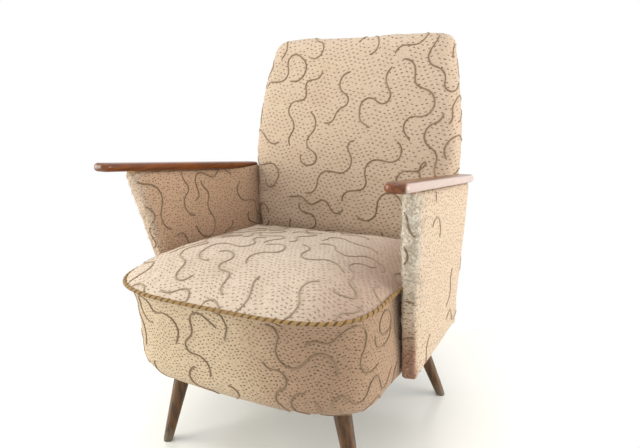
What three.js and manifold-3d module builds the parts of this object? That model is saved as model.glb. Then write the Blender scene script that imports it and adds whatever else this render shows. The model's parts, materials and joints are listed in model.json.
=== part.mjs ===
// A mid-century cocktail armchair: a bow-fronted sprung seat, a raked and curved padded back,
// two thin padded arms that lean outwards and carry sloping wooden armrests, and four splayed turned legs.
// X runs across the chair, Y from front to back and Z up from the floor. Left is -X. Sizes in millimetres.
import * as THREE from "three";
import { mergeVertices } from "three/addons/utils/BufferGeometryUtils.js";
import Module from "manifold-3d";

const wasm = await Module();
wasm.setup();

// Clearance between pieces that touch, and between a pin and its hole
const seatGap = 0.3;

// Seat frame: flat-laid planks
const frameUnderside = 192;
const plankThickness = 45;
const plankWidth = 66;
const railJointY = 62;

// Seat upholstery, measured at the piped edge, at the upright wall below it and at the underside
const seatEdgeHeight = 407;
const seatEdgeHalfWidth = 273;
const seatEdgeFrontY = -150;
const seatEdgeCornerDepth = 166;
const seatEdgeSquareness = 3.5;
const seatWallInset = 2.5;
const seatWallFrontY = -127;
const seatFloorInset = 18;
const seatFloorFrontY = -61;
const seatFloorCornerDepth = 138;
const seatFloorSquareness = 3.6;
const borderThickness = 14;
const borderUnderside = 187;
const borderFootRadius = 52;
const borderFlareHeight = 79;
const seatBackY = 410;
const crownHeight = 62;
const sagDepth = 16;
const crownRoundness = 2.2;
const sagCentre = new THREE.Vector2(-90, 280);
const sagRadiusX = 150;
const sagRadiusY = 120;
const sagOnset = 4;
const seatRearDrop = 45;
const pipingDiameter = 8;
const pipingRearSetback = 60;

// Seat suspension
const springTopBelowEdge = 85;
const springHeight = seatEdgeHeight - frameUnderside - springTopBelowEdge;
const springEndRadius = 41;
const springWaistRadius = 26;
const springWire = 4;
const springTurns = 5.5;
const springPitchX = 108;
const springPitchY = 118;
const springRowY = 168;
const webbingWidth = 50;
const webbingThickness = 1.4;
const springCoverThickness = 1.5;
const dustCoverThickness = 1;

// Arms
const armGapAtPiping = 3.6;
const armLean = THREE.MathUtils.degToRad(3.9);
const armSlope = THREE.MathUtils.degToRad(9.2);
const armTopHeight = 609;
const armThickness = 33;
const armPadding = 8;
const armEdgeRadius = 7;
const armFrontSetback = 89;
const armFrontFootHeight = 193;
const armBackTopY = 408;
const armBackFootY = 420;
const armBackFootHeight = 178;
const armStileWidth = 62;
const armrestLength = 484;
const armrestWidth = 42;
const armrestThickness = 18;
const armrestOverhang = 76;
const armrestEdgeRadius = 6;
const dowelDiameter = 8;
const dowelLength = 36;
const dowelInRest = 11;
const boltDiameter = 8;
const boltHeadWidth = 13;
const boltHeadHeight = 5.5;
const boltSocketDiameter = 20;
const boltSocketDepth = 14;
const boltRowsY = [120, 300];
const boltInCore = 16;

// Back
const backHeight = 880;
const backRake = THREE.MathUtils.degToRad(4.3);
const backBendRadius = 1430;
const backThicknessLow = 85;
const backThicknessTop = 74;
const backSideGap = 22;
const backWidestHeight = 590;
const backTopHalfWidth = 236;
const backEdgeRadius = 30;
const backTopRadius = 30;
const backTopDip = 7;
const backCrown = 12;
const backPadding = 45;
const backPadFoot = 380;
const backSideWall = 10;
const postWidth = 26;
const postTopDepth = 42;
const postTopHeight = backHeight - postTopDepth;
const backRailHeight = 48;
const backLowRailRise = 25;
const backLowRailFoot = seatEdgeHeight + backLowRailRise;
const backWebbingPitch = 118;
const backPanelThickness = 2.5;
const backPanelInset = 4;

// Legs: where each axis meets the frame's underside and the floor
const legTopRadius = 19;
const legFootRadius = 10.5;
const tenonRadius = 9;
const tenonLength = 38;
const frontLegTop = new THREE.Vector2(188, -22);
const frontLegFoot = new THREE.Vector2(236, -55);
const rearLegTop = new THREE.Vector2(208, 356);
const rearLegFoot = new THREE.Vector2(280, 374);

// Finishes
const cloth = { color: 0xcdb09c, roughness: 0.95, metalness: 0 };
const varnishedWood = { color: 0x7a4a24, roughness: 0.35, metalness: 0 };
const darkWood = { color: 0x4a2f1c, roughness: 0.4, metalness: 0 };
const beech = { color: 0xc9a577, roughness: 0.8, metalness: 0 };
const jute = { color: 0xa58a5c, roughness: 0.95, metalness: 0 };
const steel = { color: 0x8a8d90, roughness: 0.35, metalness: 1 };
const cordFinish = { color: 0x8a6a38, roughness: 0.85, metalness: 0 };
const blackCloth = { color: 0x2b2a29, roughness: 0.95, metalness: 0 };

function piece(name, geometry, finish) {
  const mesh = new THREE.Mesh(geometry, new THREE.MeshStandardMaterial(finish));
  mesh.name = name;
  return mesh;
}

// Solids for joining and cutting
function solidFrom(geometry) {
  const bare = geometry.clone();
  bare.deleteAttribute("normal");
  bare.deleteAttribute("uv");
  const merged = mergeVertices(bare, 1e-3);
  return new wasm.Manifold(
    new wasm.Mesh({
      numProp: 3,
      vertProperties: merged.attributes.position.array,
      triVerts: new Uint32Array(merged.index.array),
    }),
  );
}

function geometryFrom(solid) {
  const mesh = solid.getMesh();
  const geometry = new THREE.BufferGeometry();
  geometry.setAttribute("position", new THREE.BufferAttribute(mesh.vertProperties, 3));
  geometry.setIndex(new THREE.BufferAttribute(mesh.triVerts, 1));
  geometry.computeVertexNormals();
  return geometry;
}

function cut(geometry, ...tools) {
  let solid = solidFrom(geometry);
  for (const tool of tools) solid = solid.subtract(solidFrom(tool));
  return geometryFrom(solid);
}

// The mirror image in the X = 0 plane, with its faces turned outwards again
function mirrored(geometry) {
  const copy = mergeVertices(geometry.clone());
  copy.applyMatrix4(new THREE.Matrix4().makeScale(-1, 1, 1));
  const corners = copy.index.array;
  for (let i = 0; i < corners.length; i += 3) {
    [corners[i + 1], corners[i + 2]] = [corners[i + 2], corners[i + 1]];
  }
  copy.computeVertexNormals();
  return copy;
}

// A solid skinned over rings of equal length, each running anticlockwise seen from the last ring's side
function loft(rings) {
  const count = rings[0].length;
  const positions = rings.flat().flatMap((p) => [p.x, p.y, p.z]);
  const faces = [];
  for (let r = 0; r + 1 < rings.length; r++) {
    for (let i = 0; i < count; i++) {
      const a = r * count + i;
      const b = r * count + ((i + 1) % count);
      faces.push(a, b, b + count, a, b + count, a + count);
    }
  }
  const lid = (ring) => THREE.ShapeUtils.triangulateShape(ring.map((p) => new THREE.Vector2(p.x, p.y)), []);
  const top = (rings.length - 1) * count;
  for (const [a, b, c] of lid(rings[0])) faces.push(c, b, a);
  for (const [a, b, c] of lid(rings[rings.length - 1])) faces.push(top + a, top + b, top + c);
  const geometry = new THREE.BufferGeometry();
  geometry.setAttribute("position", new THREE.Float32BufferAttribute(positions, 3));
  geometry.setIndex(faces);
  geometry.computeVertexNormals();
  return geometry;
}

// A plan outline extruded upwards from a height
function plank(outline, bottom, thickness) {
  const geometry = new THREE.ExtrudeGeometry(new THREE.Shape(outline), { depth: thickness, bevelEnabled: false });
  return geometry.translate(0, 0, bottom);
}

// A side-view outline in Y and Z, extruded across the chair from x to x + width
const sideView = new THREE.Matrix4().set(0, 0, 1, 0, 1, 0, 0, 0, 0, 1, 0, 0, 0, 0, 0, 1);
function crosswise(outline, x, width, holes = [], bevel = 0) {
  const shape = new THREE.Shape(outline);
  shape.holes = holes.map((points) => new THREE.Path(points));
  const geometry = new THREE.ExtrudeGeometry(shape, {
    depth: width - 2 * bevel,
    bevelEnabled: bevel > 0,
    bevelSize: bevel,
    bevelThickness: bevel,
    bevelSegments: 3,
  });
  return geometry.translate(0, 0, x + bevel).applyMatrix4(sideView);
}

function rectangle(x0, y0, x1, y1) {
  return [new THREE.Vector2(x0, y0), new THREE.Vector2(x1, y0), new THREE.Vector2(x1, y1), new THREE.Vector2(x0, y1)];
}

const levels = (from, to, steps) => Array.from({ length: steps + 1 }, (_, i) => from + ((to - from) * i) / steps);

// Seat plan: straight sides and a bowed front whose corners follow a superellipse
const bowSteps = 26;
function bowFront(halfWidth, frontY, cornerDepth, squareness) {
  return levels(Math.PI, 2 * Math.PI, bowSteps).map((angle) => {
    const c = Math.cos(angle);
    const s = Math.sin(angle);
    const x = halfWidth * Math.sign(c) * Math.abs(c) ** (2 / squareness);
    const y = frontY + cornerDepth * (1 - Math.abs(s) ** (2 / squareness));
    return new THREE.Vector2(x, y);
  });
}

function seatPlanAt(z, inset = 0) {
  const foot = THREE.MathUtils.clamp((z - borderUnderside) / borderFootRadius, 0, 1);
  const rounding = Math.sqrt(1 - (1 - foot) ** 2);
  const flare = THREE.MathUtils.clamp((z - flareStart) / borderFlareHeight, 0, 1) ** 2;
  const mix = (floor, wall, edge) => floor + (wall - floor) * rounding + (edge - wall) * flare;
  const wallHalfWidth = seatEdgeHalfWidth - seatWallInset;
  const floorHalfWidth = seatEdgeHalfWidth - seatFloorInset;
  const halfWidth = mix(floorHalfWidth, wallHalfWidth, seatEdgeHalfWidth) - inset;
  const frontY = mix(seatFloorFrontY, seatWallFrontY, seatEdgeFrontY) + inset;
  const corner = mix(seatFloorCornerDepth, seatFloorCornerDepth, seatEdgeCornerDepth) - inset;
  const squareness = mix(seatFloorSquareness, seatFloorSquareness, seatEdgeSquareness);
  return { halfWidth, frontY, corner, squareness, bow: bowFront(halfWidth, frontY, corner, squareness) };
}

const lift = (points, z) => points.map((p) => new THREE.Vector3(p.x, p.y, z));
const seatRearY = seatBackY - seatGap;
const borderTop = seatEdgeHeight - pipingDiameter / 2;
const flareStart = seatEdgeHeight - borderFlareHeight;
const flareLevels = levels(flareStart, borderTop, 4);

// The worn seat has settled: its edge falls from the end of the bow to the back, and the band below it is squashed
const settleFrontY = seatEdgeFrontY + seatEdgeCornerDepth;
function settled(points) {
  return points.map((p) => {
    const along = THREE.MathUtils.clamp((p.y - settleFrontY) / (seatBackY - settleFrontY), 0, 1);
    const upper = THREE.MathUtils.clamp((p.z - flareStart) / (borderTop - flareStart), 0, 1);
    return new THREE.Vector3(p.x, p.y, p.z - seatRearDrop * along * upper);
  });
}

function closedPlanAt(z, inset = 0) {
  const { bow } = seatPlanAt(z, inset);
  const right = bow[bow.length - 1];
  const left = bow[0];
  return [...bow, new THREE.Vector2(right.x, seatRearY), new THREE.Vector2(left.x, seatRearY)];
}

function bandPlanAt(z, thickness) {
  const outer = seatPlanAt(z).bow;
  const inner = seatPlanAt(z, thickness).bow;
  const ends = (points) => [
    new THREE.Vector2(points[0].x, seatRearY),
    ...points,
    new THREE.Vector2(points[points.length - 1].x, seatRearY),
  ];
  return [...ends(outer), ...ends(inner).reverse()];
}

function seatBorder() {
  const footLevels = [0.25, 0.55, 1].map((f) => borderUnderside + f * borderFootRadius);
  footLevels.unshift(borderUnderside, frameUnderside);
  return loft([...footLevels, ...flareLevels].map((z) => settled(lift(bandPlanAt(z, borderThickness), z))));
}

// The seat's worn hollow: how far the crown has sunk at a point
function seatSag(x, y) {
  return sagDepth * Math.exp(-(((x - sagCentre.x) / sagRadiusX) ** 2) - ((y - sagCentre.y) / sagRadiusY) ** 2);
}

const webbingLongTop = frameUnderside - seatGap;
const springFoot = frameUnderside;
const springCoverFoot = springFoot + springHeight + seatGap;
const padFoot = springCoverFoot + springCoverThickness + seatGap;

// Crowned pad: a plug inside the border, a lip over the border's rim, and a pillow top that has sagged
function seatPad() {
  const lipFoot = borderTop + seatGap;
  const plug = borderThickness + 2 * seatGap;
  const edge = closedPlanAt(seatEdgeHeight);
  const centre = new THREE.Vector2(0, (seatEdgeFrontY + seatBackY) / 2);
  const plugLevels = [padFoot, ...flareLevels.filter((z) => z > padFoot)];
  const rings = plugLevels.map((z) => lift(closedPlanAt(z, plug), z));
  rings.push(lift(closedPlanAt(borderTop, plug), lipFoot), lift(edge, lipFoot));
  for (const scale of [1, 0.985, 0.955, 0.9, 0.82, 0.7, 0.54, 0.36, 0.18, 0.05]) {
    const rise = crownHeight * Math.sqrt(1 - scale ** crownRoundness);
    rings.push(
      edge.map((p) => {
        const x = centre.x + (p.x - centre.x) * scale;
        const y = centre.y + (p.y - centre.y) * scale;
        const sunk = scale < 1 ? seatSag(x, y) * Math.min(1, (1 - scale) * sagOnset) : 0;
        return new THREE.Vector3(x, y, seatEdgeHeight + rise - sunk);
      }),
    );
  }
  return loft(rings.map(settled));
}

// The line that the piping follows: up one side, round the bow front and down the other side
class PipingLine extends THREE.Curve {
  constructor() {
    super();
    const offset = pipingDiameter / 2 + 2 * seatGap;
    const { halfWidth, frontY, corner, squareness } = seatPlanAt(seatEdgeHeight, -offset);
    const bow = bowFront(halfWidth, frontY, corner, squareness);
    const rear = seatBackY - pipingRearSetback;
    const route = [new THREE.Vector2(-halfWidth, rear), ...bow, new THREE.Vector2(halfWidth, rear)];
    this.runs = new THREE.CurvePath();
    for (let i = 0; i + 1 < route.length; i++) {
      const [a, b] = settled(lift([route[i], route[i + 1]], seatEdgeHeight));
      this.runs.add(new THREE.LineCurve3(a, b));
    }
  }
  getPoint(t, target = new THREE.Vector3()) {
    return target.copy(this.runs.getPoint(t));
  }
}

function roundSection(radius, sides) {
  const angles = levels(0, 2 * Math.PI, sides).slice(0, sides);
  return new THREE.Shape(angles.map((a) => new THREE.Vector2(radius * Math.cos(a), radius * Math.sin(a))));
}

function seatPiping() {
  const section = roundSection(pipingDiameter / 2, 6);
  return new THREE.ExtrudeGeometry(section, { steps: 90, bevelEnabled: false, extrudePath: new PipingLine() });
}

// Waisted coil spring whose end turns lie closer together
class SpringLine extends THREE.Curve {
  getPoint(t, target = new THREE.Vector3()) {
    const angle = 2 * Math.PI * springTurns * t;
    const radius = springEndRadius - (springEndRadius - springWaistRadius) * Math.sin(Math.PI * t);
    const eased = t - (0.75 * Math.sin(2 * Math.PI * t)) / (2 * Math.PI);
    const z = springWire / 2 + (springHeight - springWire) * eased;
    return target.set(radius * Math.cos(angle), radius * Math.sin(angle), z);
  }
}

function coilSpring() {
  const section = roundSection(springWire / 2, 5);
  return new THREE.ExtrudeGeometry(section, { steps: 50, bevelEnabled: false, extrudePath: new SpringLine() });
}

// Frame planks. Their outer edges follow the inside of the border at the height of their undersides.
const railOutset = borderThickness + seatGap;
const railHalfWidth = seatPlanAt(frameUnderside, railOutset).halfWidth;
const rearRailBackY = seatBackY + backPadding - seatGap;

function bowRail() {
  const outer = seatPlanAt(frameUnderside, railOutset).bow;
  const inner = seatPlanAt(frameUnderside, railOutset + plankWidth).bow;
  const innerX = railHalfWidth - plankWidth;
  const outline = [
    new THREE.Vector2(-railHalfWidth, railJointY),
    ...outer.filter((p) => p.y < railJointY),
    new THREE.Vector2(railHalfWidth, railJointY),
    new THREE.Vector2(innerX, railJointY),
    ...inner.filter((p) => p.y < railJointY).reverse(),
    new THREE.Vector2(-innerX, railJointY),
  ];
  return plank(outline, frameUnderside, plankThickness);
}

const sideRailY = [railJointY + seatGap, rearRailBackY - plankWidth - seatGap];

function sideRail() {
  const innerX = railHalfWidth - plankWidth;
  const outline = rectangle(innerX, sideRailY[0], railHalfWidth, sideRailY[1]);
  return plank(outline, frameUnderside, plankThickness);
}

function rearRail() {
  const outline = rectangle(-postOuterX, rearRailBackY - plankWidth, postOuterX, rearRailBackY);
  return plank(outline, frameUnderside, plankThickness);
}

// A turned leg: a tapered shaft, trimmed level at the floor and at the frame, with a round tenon above
function legDirection(top, foot) {
  return new THREE.Vector3(top.x - foot.x, top.y - foot.y, frameUnderside).normalize();
}

function alongLeg(geometry, top, foot) {
  const turn = new THREE.Quaternion().setFromUnitVectors(new THREE.Vector3(0, 0, 1), legDirection(top, foot));
  return geometry.applyQuaternion(turn).translate(foot.x, foot.y, 0);
}

function turned(profile, segments) {
  const points = profile.map(([radius, height]) => new THREE.Vector2(radius, height));
  return new THREE.LatheGeometry(points, segments).rotateX(Math.PI / 2);
}

function legShaft(top, foot, clearance) {
  const length = frameUnderside / legDirection(top, foot).z;
  const spare = legTopRadius;
  const taper = (legTopRadius - legFootRadius) / length;
  const radiusAt = (height) => legFootRadius + taper * height + clearance;
  const profile = [[0, -spare], [radiusAt(-spare), -spare], [radiusAt(length + spare), length + spare], [0, length + spare]];
  return alongLeg(turned(profile, 24), top, foot);
}

function legTenon(top, foot, clearance) {
  const length = frameUnderside / legDirection(top, foot).z;
  const radius = tenonRadius + clearance;
  const end = length + tenonLength + clearance;
  return alongLeg(turned([[0, length - legTopRadius], [radius, length - legTopRadius], [radius, end], [0, end]], 16), top, foot);
}

function levelSlab(bottom, top) {
  const reach = 4 * backHeight;
  return new THREE.BoxGeometry(reach, reach, top - bottom).translate(0, 0, (bottom + top) / 2);
}

function leg(top, foot) {
  const shaft = solidFrom(legShaft(top, foot, 0)).intersect(solidFrom(levelSlab(0, frameUnderside - seatGap)));
  return geometryFrom(shaft.add(solidFrom(legTenon(top, foot, 0))));
}

const legPlaces = {
  leg_front: [frontLegTop, frontLegFoot],
  leg_rear: [rearLegTop, rearLegFoot],
};

// Arms. The inner face passes the piping with a small gap and leans outwards as it rises.
const armInnerAtTop =
  seatEdgeHalfWidth + pipingDiameter + seatGap + armGapAtPiping + (armTopHeight - seatEdgeHeight) * Math.tan(armLean);
const armInnerAt = (z) => armInnerAtTop - (armTopHeight - z) * Math.tan(armLean);

// Side-view corners of an arm, from the front top corner, in Y and Z below the top front corner
const armCorners = [
  new THREE.Vector2(0, 0),
  new THREE.Vector2(armFrontSetback, armFrontFootHeight - armTopHeight),
  new THREE.Vector2(armBackFootY, armBackFootHeight - armTopHeight),
  new THREE.Vector2(armBackTopY, -armBackTopY * Math.tan(armSlope)),
];

// Moves each side of an anticlockwise outline inwards by its own distance
function insetOutline(points, distances) {
  const count = points.length;
  const lines = points.map((p, i) => {
    const q = points[(i + 1) % count];
    const along = q.clone().sub(p).normalize();
    const inward = new THREE.Vector2(-along.y, along.x);
    return { from: p.clone().addScaledVector(inward, distances[i]), along };
  });
  return lines.map((line, i) => {
    const before = lines[(i + count - 1) % count];
    const gap = line.from.clone().sub(before.from);
    const share = gap.cross(line.along) / before.along.cross(line.along);
    return before.from.clone().addScaledVector(before.along, share);
  });
}

// Leans a piece of an arm outwards: x grows with height
function leaned(geometry) {
  const shear = new THREE.Matrix4().set(1, 0, Math.tan(armLean), 0, 0, 1, 0, 0, 0, 0, 1, 0, 0, 0, 0, 1);
  return geometry.applyMatrix4(shear);
}

// The armrest's underside is a plane through the front top corner that falls towards the back
function acrossArmTop(geometry, y) {
  return geometry.rotateX(-armSlope).translate(0, y * Math.cos(armSlope), -y * Math.sin(armSlope));
}

const dowelRowsY = [armStileWidth * 0.75, armBackTopY - armStileWidth * 0.75];

function dowelTool(y, clearance) {
  const radius = dowelDiameter / 2 + clearance;
  const length = dowelLength + 2 * clearance;
  const pin = new THREE.CylinderGeometry(radius, radius, length, 16).rotateX(Math.PI / 2);
  const leanedIn = (y * Math.sin(armSlope) * Math.tan(armLean)) / 2;
  return acrossArmTop(pin.translate(armThickness / 2 - leanedIn, 0, dowelInRest - dowelLength / 2), y);
}

const boltHeight = frameUnderside + plankThickness / 2;
const boltLocalZ = boltHeight - armTopHeight;
const armLocalX = (x) => x - armInnerAtTop;
const coreOuterAtBolt = armInnerAt(boltHeight) + armPadding + boltInCore;
const boltHeadX = railHalfWidth - plankWidth + boltSocketDepth;

function boltShank(y, clearance) {
  const radius = boltDiameter / 2 + clearance;
  const from = boltHeadX - boltHeadHeight;
  const length = coreOuterAtBolt + clearance - from;
  return new THREE.CylinderGeometry(radius, radius, length, 16).rotateZ(Math.PI / 2).translate(from + length / 2, y, boltHeight);
}

function boltHead(y) {
  const across = boltHeadWidth / Math.sqrt(3);
  const head = new THREE.CylinderGeometry(across, across, boltHeadHeight, 6).rotateZ(Math.PI / 2);
  return head.translate(boltHeadX - boltHeadHeight / 2 - seatGap, y, boltHeight);
}

function boltSocket(y) {
  const radius = boltSocketDiameter / 2;
  const length = boltSocketDepth + plankWidth;
  const hole = new THREE.CylinderGeometry(radius, radius, length, 20).rotateZ(Math.PI / 2);
  return hole.translate(boltHeadX - length / 2, y, boltHeight);
}

const armBolt = (y) => geometryFrom(solidFrom(boltShank(y, 0)).add(solidFrom(boltHead(y))));
const boltHoles = () => boltRowsY.map((y) => boltShank(y, seatGap));
const boltHolesInArm = () => boltHoles().map((hole) => hole.translate(-armInnerAtTop, 0, -armTopHeight));

function armCore() {
  const inset = [armPadding, armPadding, armPadding, seatGap];
  const outline = insetOutline(armCorners, inset);
  const window = insetOutline(outline, [armStileWidth, armStileWidth, armStileWidth, armStileWidth]);
  const board = leaned(crosswise(outline, armPadding, armThickness - 2 * armPadding, [window]));
  return cut(board, ...dowelRowsY.map((y) => dowelTool(y, seatGap)), ...boltHolesInArm());
}

// Padded sleeve drawn over the frame from below the armrest, open along its top
function armPad() {
  const bevel = armEdgeRadius;
  const outline = insetOutline(armCorners, [bevel, bevel, bevel, bevel + seatGap]);
  const sleeve = leaned(crosswise(outline, 0, armThickness, [], bevel));
  const wall = armPadding - seatGap;
  const pocketOutline = insetOutline(armCorners, [wall, wall, wall, -armThickness]);
  const pocket = leaned(crosswise(pocketOutline, wall, armThickness - 2 * wall));
  return cut(sleeve, pocket, ...boltHolesInArm());
}

function armrest() {
  const edge = armrestEdgeRadius;
  const half = armrestWidth / 2 - edge;
  const nose = half * 0.55;
  const front = -armrestOverhang + edge;
  const back = armrestLength - armrestOverhang - edge;
  const shape = new THREE.Shape();
  shape.moveTo(-half, back);
  shape.lineTo(-half, front + nose);
  shape.quadraticCurveTo(-half, front, -half + nose, front);
  shape.lineTo(half - nose, front);
  shape.quadraticCurveTo(half, front, half, front + nose);
  shape.lineTo(half, back);
  const bar = new THREE.ExtrudeGeometry(shape, {
    depth: armrestThickness - 2 * edge,
    bevelSize: edge,
    bevelThickness: edge,
    bevelSegments: 3,
    curveSegments: 5,
  });
  const placed = acrossArmTop(bar.translate(armThickness / 2, 0, edge), 0);
  return cut(placed, ...dowelRowsY.map((y) => dowelTool(y, seatGap)));
}

function sideOf(side, geometry) {
  return side < 0 ? mirrored(geometry) : geometry;
}

function arm(side, sideName) {
  const group = new THREE.Group();
  group.add(piece(`arm_frame_${sideName}`, sideOf(side, armCore()), beech));
  group.add(piece(`arm_pad_${sideName}`, sideOf(side, armPad()), cloth));
  group.add(piece(`armrest_${sideName}`, sideOf(side, armrest()), varnishedWood));
  dowelRowsY.forEach((y, i) => {
    group.add(piece(`armrest_dowel_${sideName}_${i + 1}`, sideOf(side, dowelTool(y, 0)), beech));
  });
  group.position.set(side * armInnerAtTop, 0, armTopHeight);
  return group;
}

// Back. Its front face stands upright behind the seat, then rakes and bends backwards.
const rise = (z) => Math.max(0, z - seatEdgeHeight);
const backFrontY = (z) => seatBackY + rise(z) * Math.tan(backRake) + rise(z) ** 2 / (2 * backBendRadius);
const backThicknessAt = (z) =>
  THREE.MathUtils.lerp(backThicknessLow, backThicknessTop, rise(z) / (backHeight - seatEdgeHeight));
const backRearY = (z) => backFrontY(z) + backThicknessAt(z);

// Half width: follows the arms up to the widest height, then narrows to the top
function backHalfWidthAt(z) {
  if (z <= backWidestHeight) return armInnerAt(z) - backSideGap;
  const widest = armInnerAt(backWidestHeight) - backSideGap;
  const share = (z - backWidestHeight) / (backHeight - backWidestHeight);
  return widest - (widest - backTopHalfWidth) * share ** 1.6;
}

const backShoulder = backHeight - backTopRadius;

// The front face starts to bulge above the seat's crown
const backCrownFoot = seatEdgeHeight + crownHeight;

// Plan section of the back: rounded front corners and a slightly crowned front face
function backRing(z) {
  const above = Math.max(0, z - backShoulder);
  const shrink = backTopRadius - Math.sqrt(Math.max(0, backTopRadius ** 2 - above ** 2));
  const half = backHalfWidthAt(z) - shrink;
  const frontY = backFrontY(z) + shrink;
  const rearY = backRearY(z) - shrink * 0.8;
  const radius = Math.min(backEdgeRadius, (rearY - frontY) / 2);
  const corner = levels(0, Math.PI / 2, 4);
  const face = levels(-1, 1, 8).slice(1, 8);
  const flat = half - radius;
  const crownShare = THREE.MathUtils.clamp((z - backCrownFoot) / (backHeight - backCrownFoot), 0, 1);
  const crowned = backCrown * Math.sin(Math.PI * crownShare);
  const dipped = (x) => z - backTopDip * (above / backTopRadius) * (1 - (x / backTopHalfWidth) ** 2);
  const points = [
    ...corner.map((a) => [-flat - radius * Math.cos(a), frontY + radius * (1 - Math.sin(a))]),
    ...face.map((u) => [u * flat, frontY - crowned * (1 - u ** 2)]),
    ...corner.map((a) => [flat + radius * Math.sin(a), frontY + radius * (1 - Math.cos(a))]),
    [half, rearY],
    [0, rearY],
    [-half, rearY],
  ];
  return points.map(([x, y]) => new THREE.Vector3(x, y, dipped(x)));
}

const postOuterX = armInnerAt(borderUnderside) - backSideGap - backSideWall - seatGap;

const backLevels = [
  borderUnderside,
  ...levels(seatEdgeHeight, backWidestHeight, 4),
  ...levels(backWidestHeight, backShoulder, 5).slice(1),
];

function backPad() {
  const topLevels = [0.45, 0.75, 0.92, 0.985].map((share) => backShoulder + backTopRadius * share);
  const body = loft([...backLevels, ...topLevels].map(backRing));
  const half = postOuterX + seatGap;
  const reach = backThicknessLow;
  const lower = rectangle(seatBackY - reach, borderUnderside - 1, seatBackY + 2 * reach, backPadFoot);
  const slots = levels(backPadFoot - 1, postTopHeight + seatGap, 10);
  const wall = backPadding - webbingThickness - 2 * seatGap;
  const upper = [
    ...slots.map((z) => new THREE.Vector2(backRearY(z) + reach, z)),
    ...slots.map((z) => new THREE.Vector2(backFrontY(z) + wall, z)).reverse(),
  ];
  return cut(body, crosswise(lower, -half, 2 * half), crosswise(upper, -half, 2 * half));
}

// A strip that follows the back's curve between two depths, in side view
function curvedStrip(fromZ, toZ, steps, frontOf, rearOf) {
  const heights = levels(fromZ, toZ, steps);
  return [
    ...heights.map((z) => new THREE.Vector2(rearOf(z), z)),
    ...heights.map((z) => new THREE.Vector2(frontOf(z), z)).reverse(),
  ];
}

const frameFrontY = (z) => backFrontY(z) + backPadding;
const frameRearY = (z) => backRearY(z) - seatGap;

function backPost() {
  const outline = curvedStrip(frameUnderside, postTopHeight, 14, frameFrontY, frameRearY);
  return crosswise(outline, postOuterX - postWidth, postWidth);
}

function backRail(foot) {
  const half = postOuterX - postWidth - seatGap;
  const outline = curvedStrip(foot, foot + backRailHeight, 3, frameFrontY, frameRearY);
  return crosswise(outline, -half, 2 * half);
}

const backTopRailFoot = postTopHeight - backRailHeight;

function backStrap() {
  const front = (z) => frameFrontY(z) - webbingThickness - seatGap;
  const rear = (z) => frameFrontY(z) - seatGap;
  const outline = curvedStrip(backLowRailFoot, postTopHeight, 12, front, rear);
  return crosswise(outline, -webbingWidth / 2, webbingWidth);
}

function backPanel() {
  return loft(
    backLevels.map((z) => {
      const half = backHalfWidthAt(z) - backPanelInset;
      const y = backRearY(z) + seatGap;
      return lift(rectangle(-half, y, half, y + backPanelThickness), z);
    }),
  );
}

// Suspension under the seat
const webbingCrossTop = webbingLongTop - webbingThickness - seatGap;
const dustCoverTop = webbingCrossTop - webbingThickness - seatGap;
const springRows = [-1, 0, 1].map((i) => springRowY + i * springPitchY);
const springColumns = [-1, 0, 1].map((i) => i * springPitchX);

function strapAlong(x) {
  const half = webbingWidth / 2;
  const front = seatFloorFrontY + railOutset + plankWidth / 4;
  const outline = rectangle(x - half, front, x + half, rearRailBackY - plankWidth / 4);
  return plank(outline, webbingLongTop - webbingThickness, webbingThickness);
}

function strapAcross(y) {
  const half = webbingWidth / 2;
  const reach = railHalfWidth - plankWidth / 8;
  return plank(rectangle(-reach, y - half, reach, y + half), webbingCrossTop - webbingThickness, webbingThickness);
}

function springCover() {
  return plank(closedPlanAt(springCoverFoot, borderThickness + seatGap), springCoverFoot, springCoverThickness);
}

function dustCover() {
  const { bow, halfWidth } = seatPlanAt(borderUnderside, railOutset);
  const rearY = seatBackY + backThicknessLow - seatGap;
  const rear = rectangle(-postOuterX, seatRearY, postOuterX, rearY);
  const outline = [...bow, new THREE.Vector2(halfWidth, seatRearY), rear[1], rear[2], rear[3], rear[0]];
  outline.push(new THREE.Vector2(-halfWidth, seatRearY));
  return plank(outline, dustCoverTop - dustCoverThickness, dustCoverThickness);
}

const chair = new THREE.Group();
const legClearances = Object.values(legPlaces).flatMap(([top, foot]) => {
  const right = legShaft(top, foot, 2 * seatGap);
  return [right, mirrored(right)];
});
const tenonHoles = Object.values(legPlaces).flatMap(([top, foot]) => {
  const right = legTenon(top, foot, seatGap);
  return [right, mirrored(right)];
});
const allBoltHoles = boltHoles().flatMap((hole) => [hole, mirrored(hole)]);

chair.add(piece("seat_bow_rail", cut(bowRail(), ...tenonHoles), beech));
chair.add(piece("seat_rear_rail", rearRail(), beech));
chair.add(piece("seat_border", cut(seatBorder(), ...legClearances, ...allBoltHoles), cloth));
chair.add(piece("seat_pad", seatPad(), cloth));
chair.add(piece("seat_piping", seatPiping(), cordFinish));
chair.add(piece("spring_cover", springCover(), jute));
chair.add(piece("dust_cover", cut(dustCover(), ...legClearances), blackCloth));

springColumns.forEach((x, i) => {
  chair.add(piece(`seat_webbing_long_${i + 1}`, strapAlong(x), jute));
});
springRows.forEach((y, i) => {
  chair.add(piece(`seat_webbing_cross_${i + 1}`, strapAcross(y), jute));
});
springRows.forEach((y, row) => {
  springColumns.forEach((x, column) => {
    const spring = piece(`seat_spring_${row * springColumns.length + column + 1}`, coilSpring(), steel);
    spring.position.set(x, y, springFoot);
    chair.add(spring);
  });
});

chair.add(piece("back_pad", backPad(), cloth));
chair.add(piece("back_panel", backPanel(), cloth));
chair.add(piece("back_top_rail", backRail(backTopRailFoot), beech));
chair.add(piece("back_low_rail", backRail(backLowRailFoot), beech));
[-1, 0, 1].forEach((i) => {
  const strap = piece(`back_webbing_${i + 2}`, backStrap(), jute);
  strap.position.x = i * backWebbingPitch;
  chair.add(strap);
});

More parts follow.
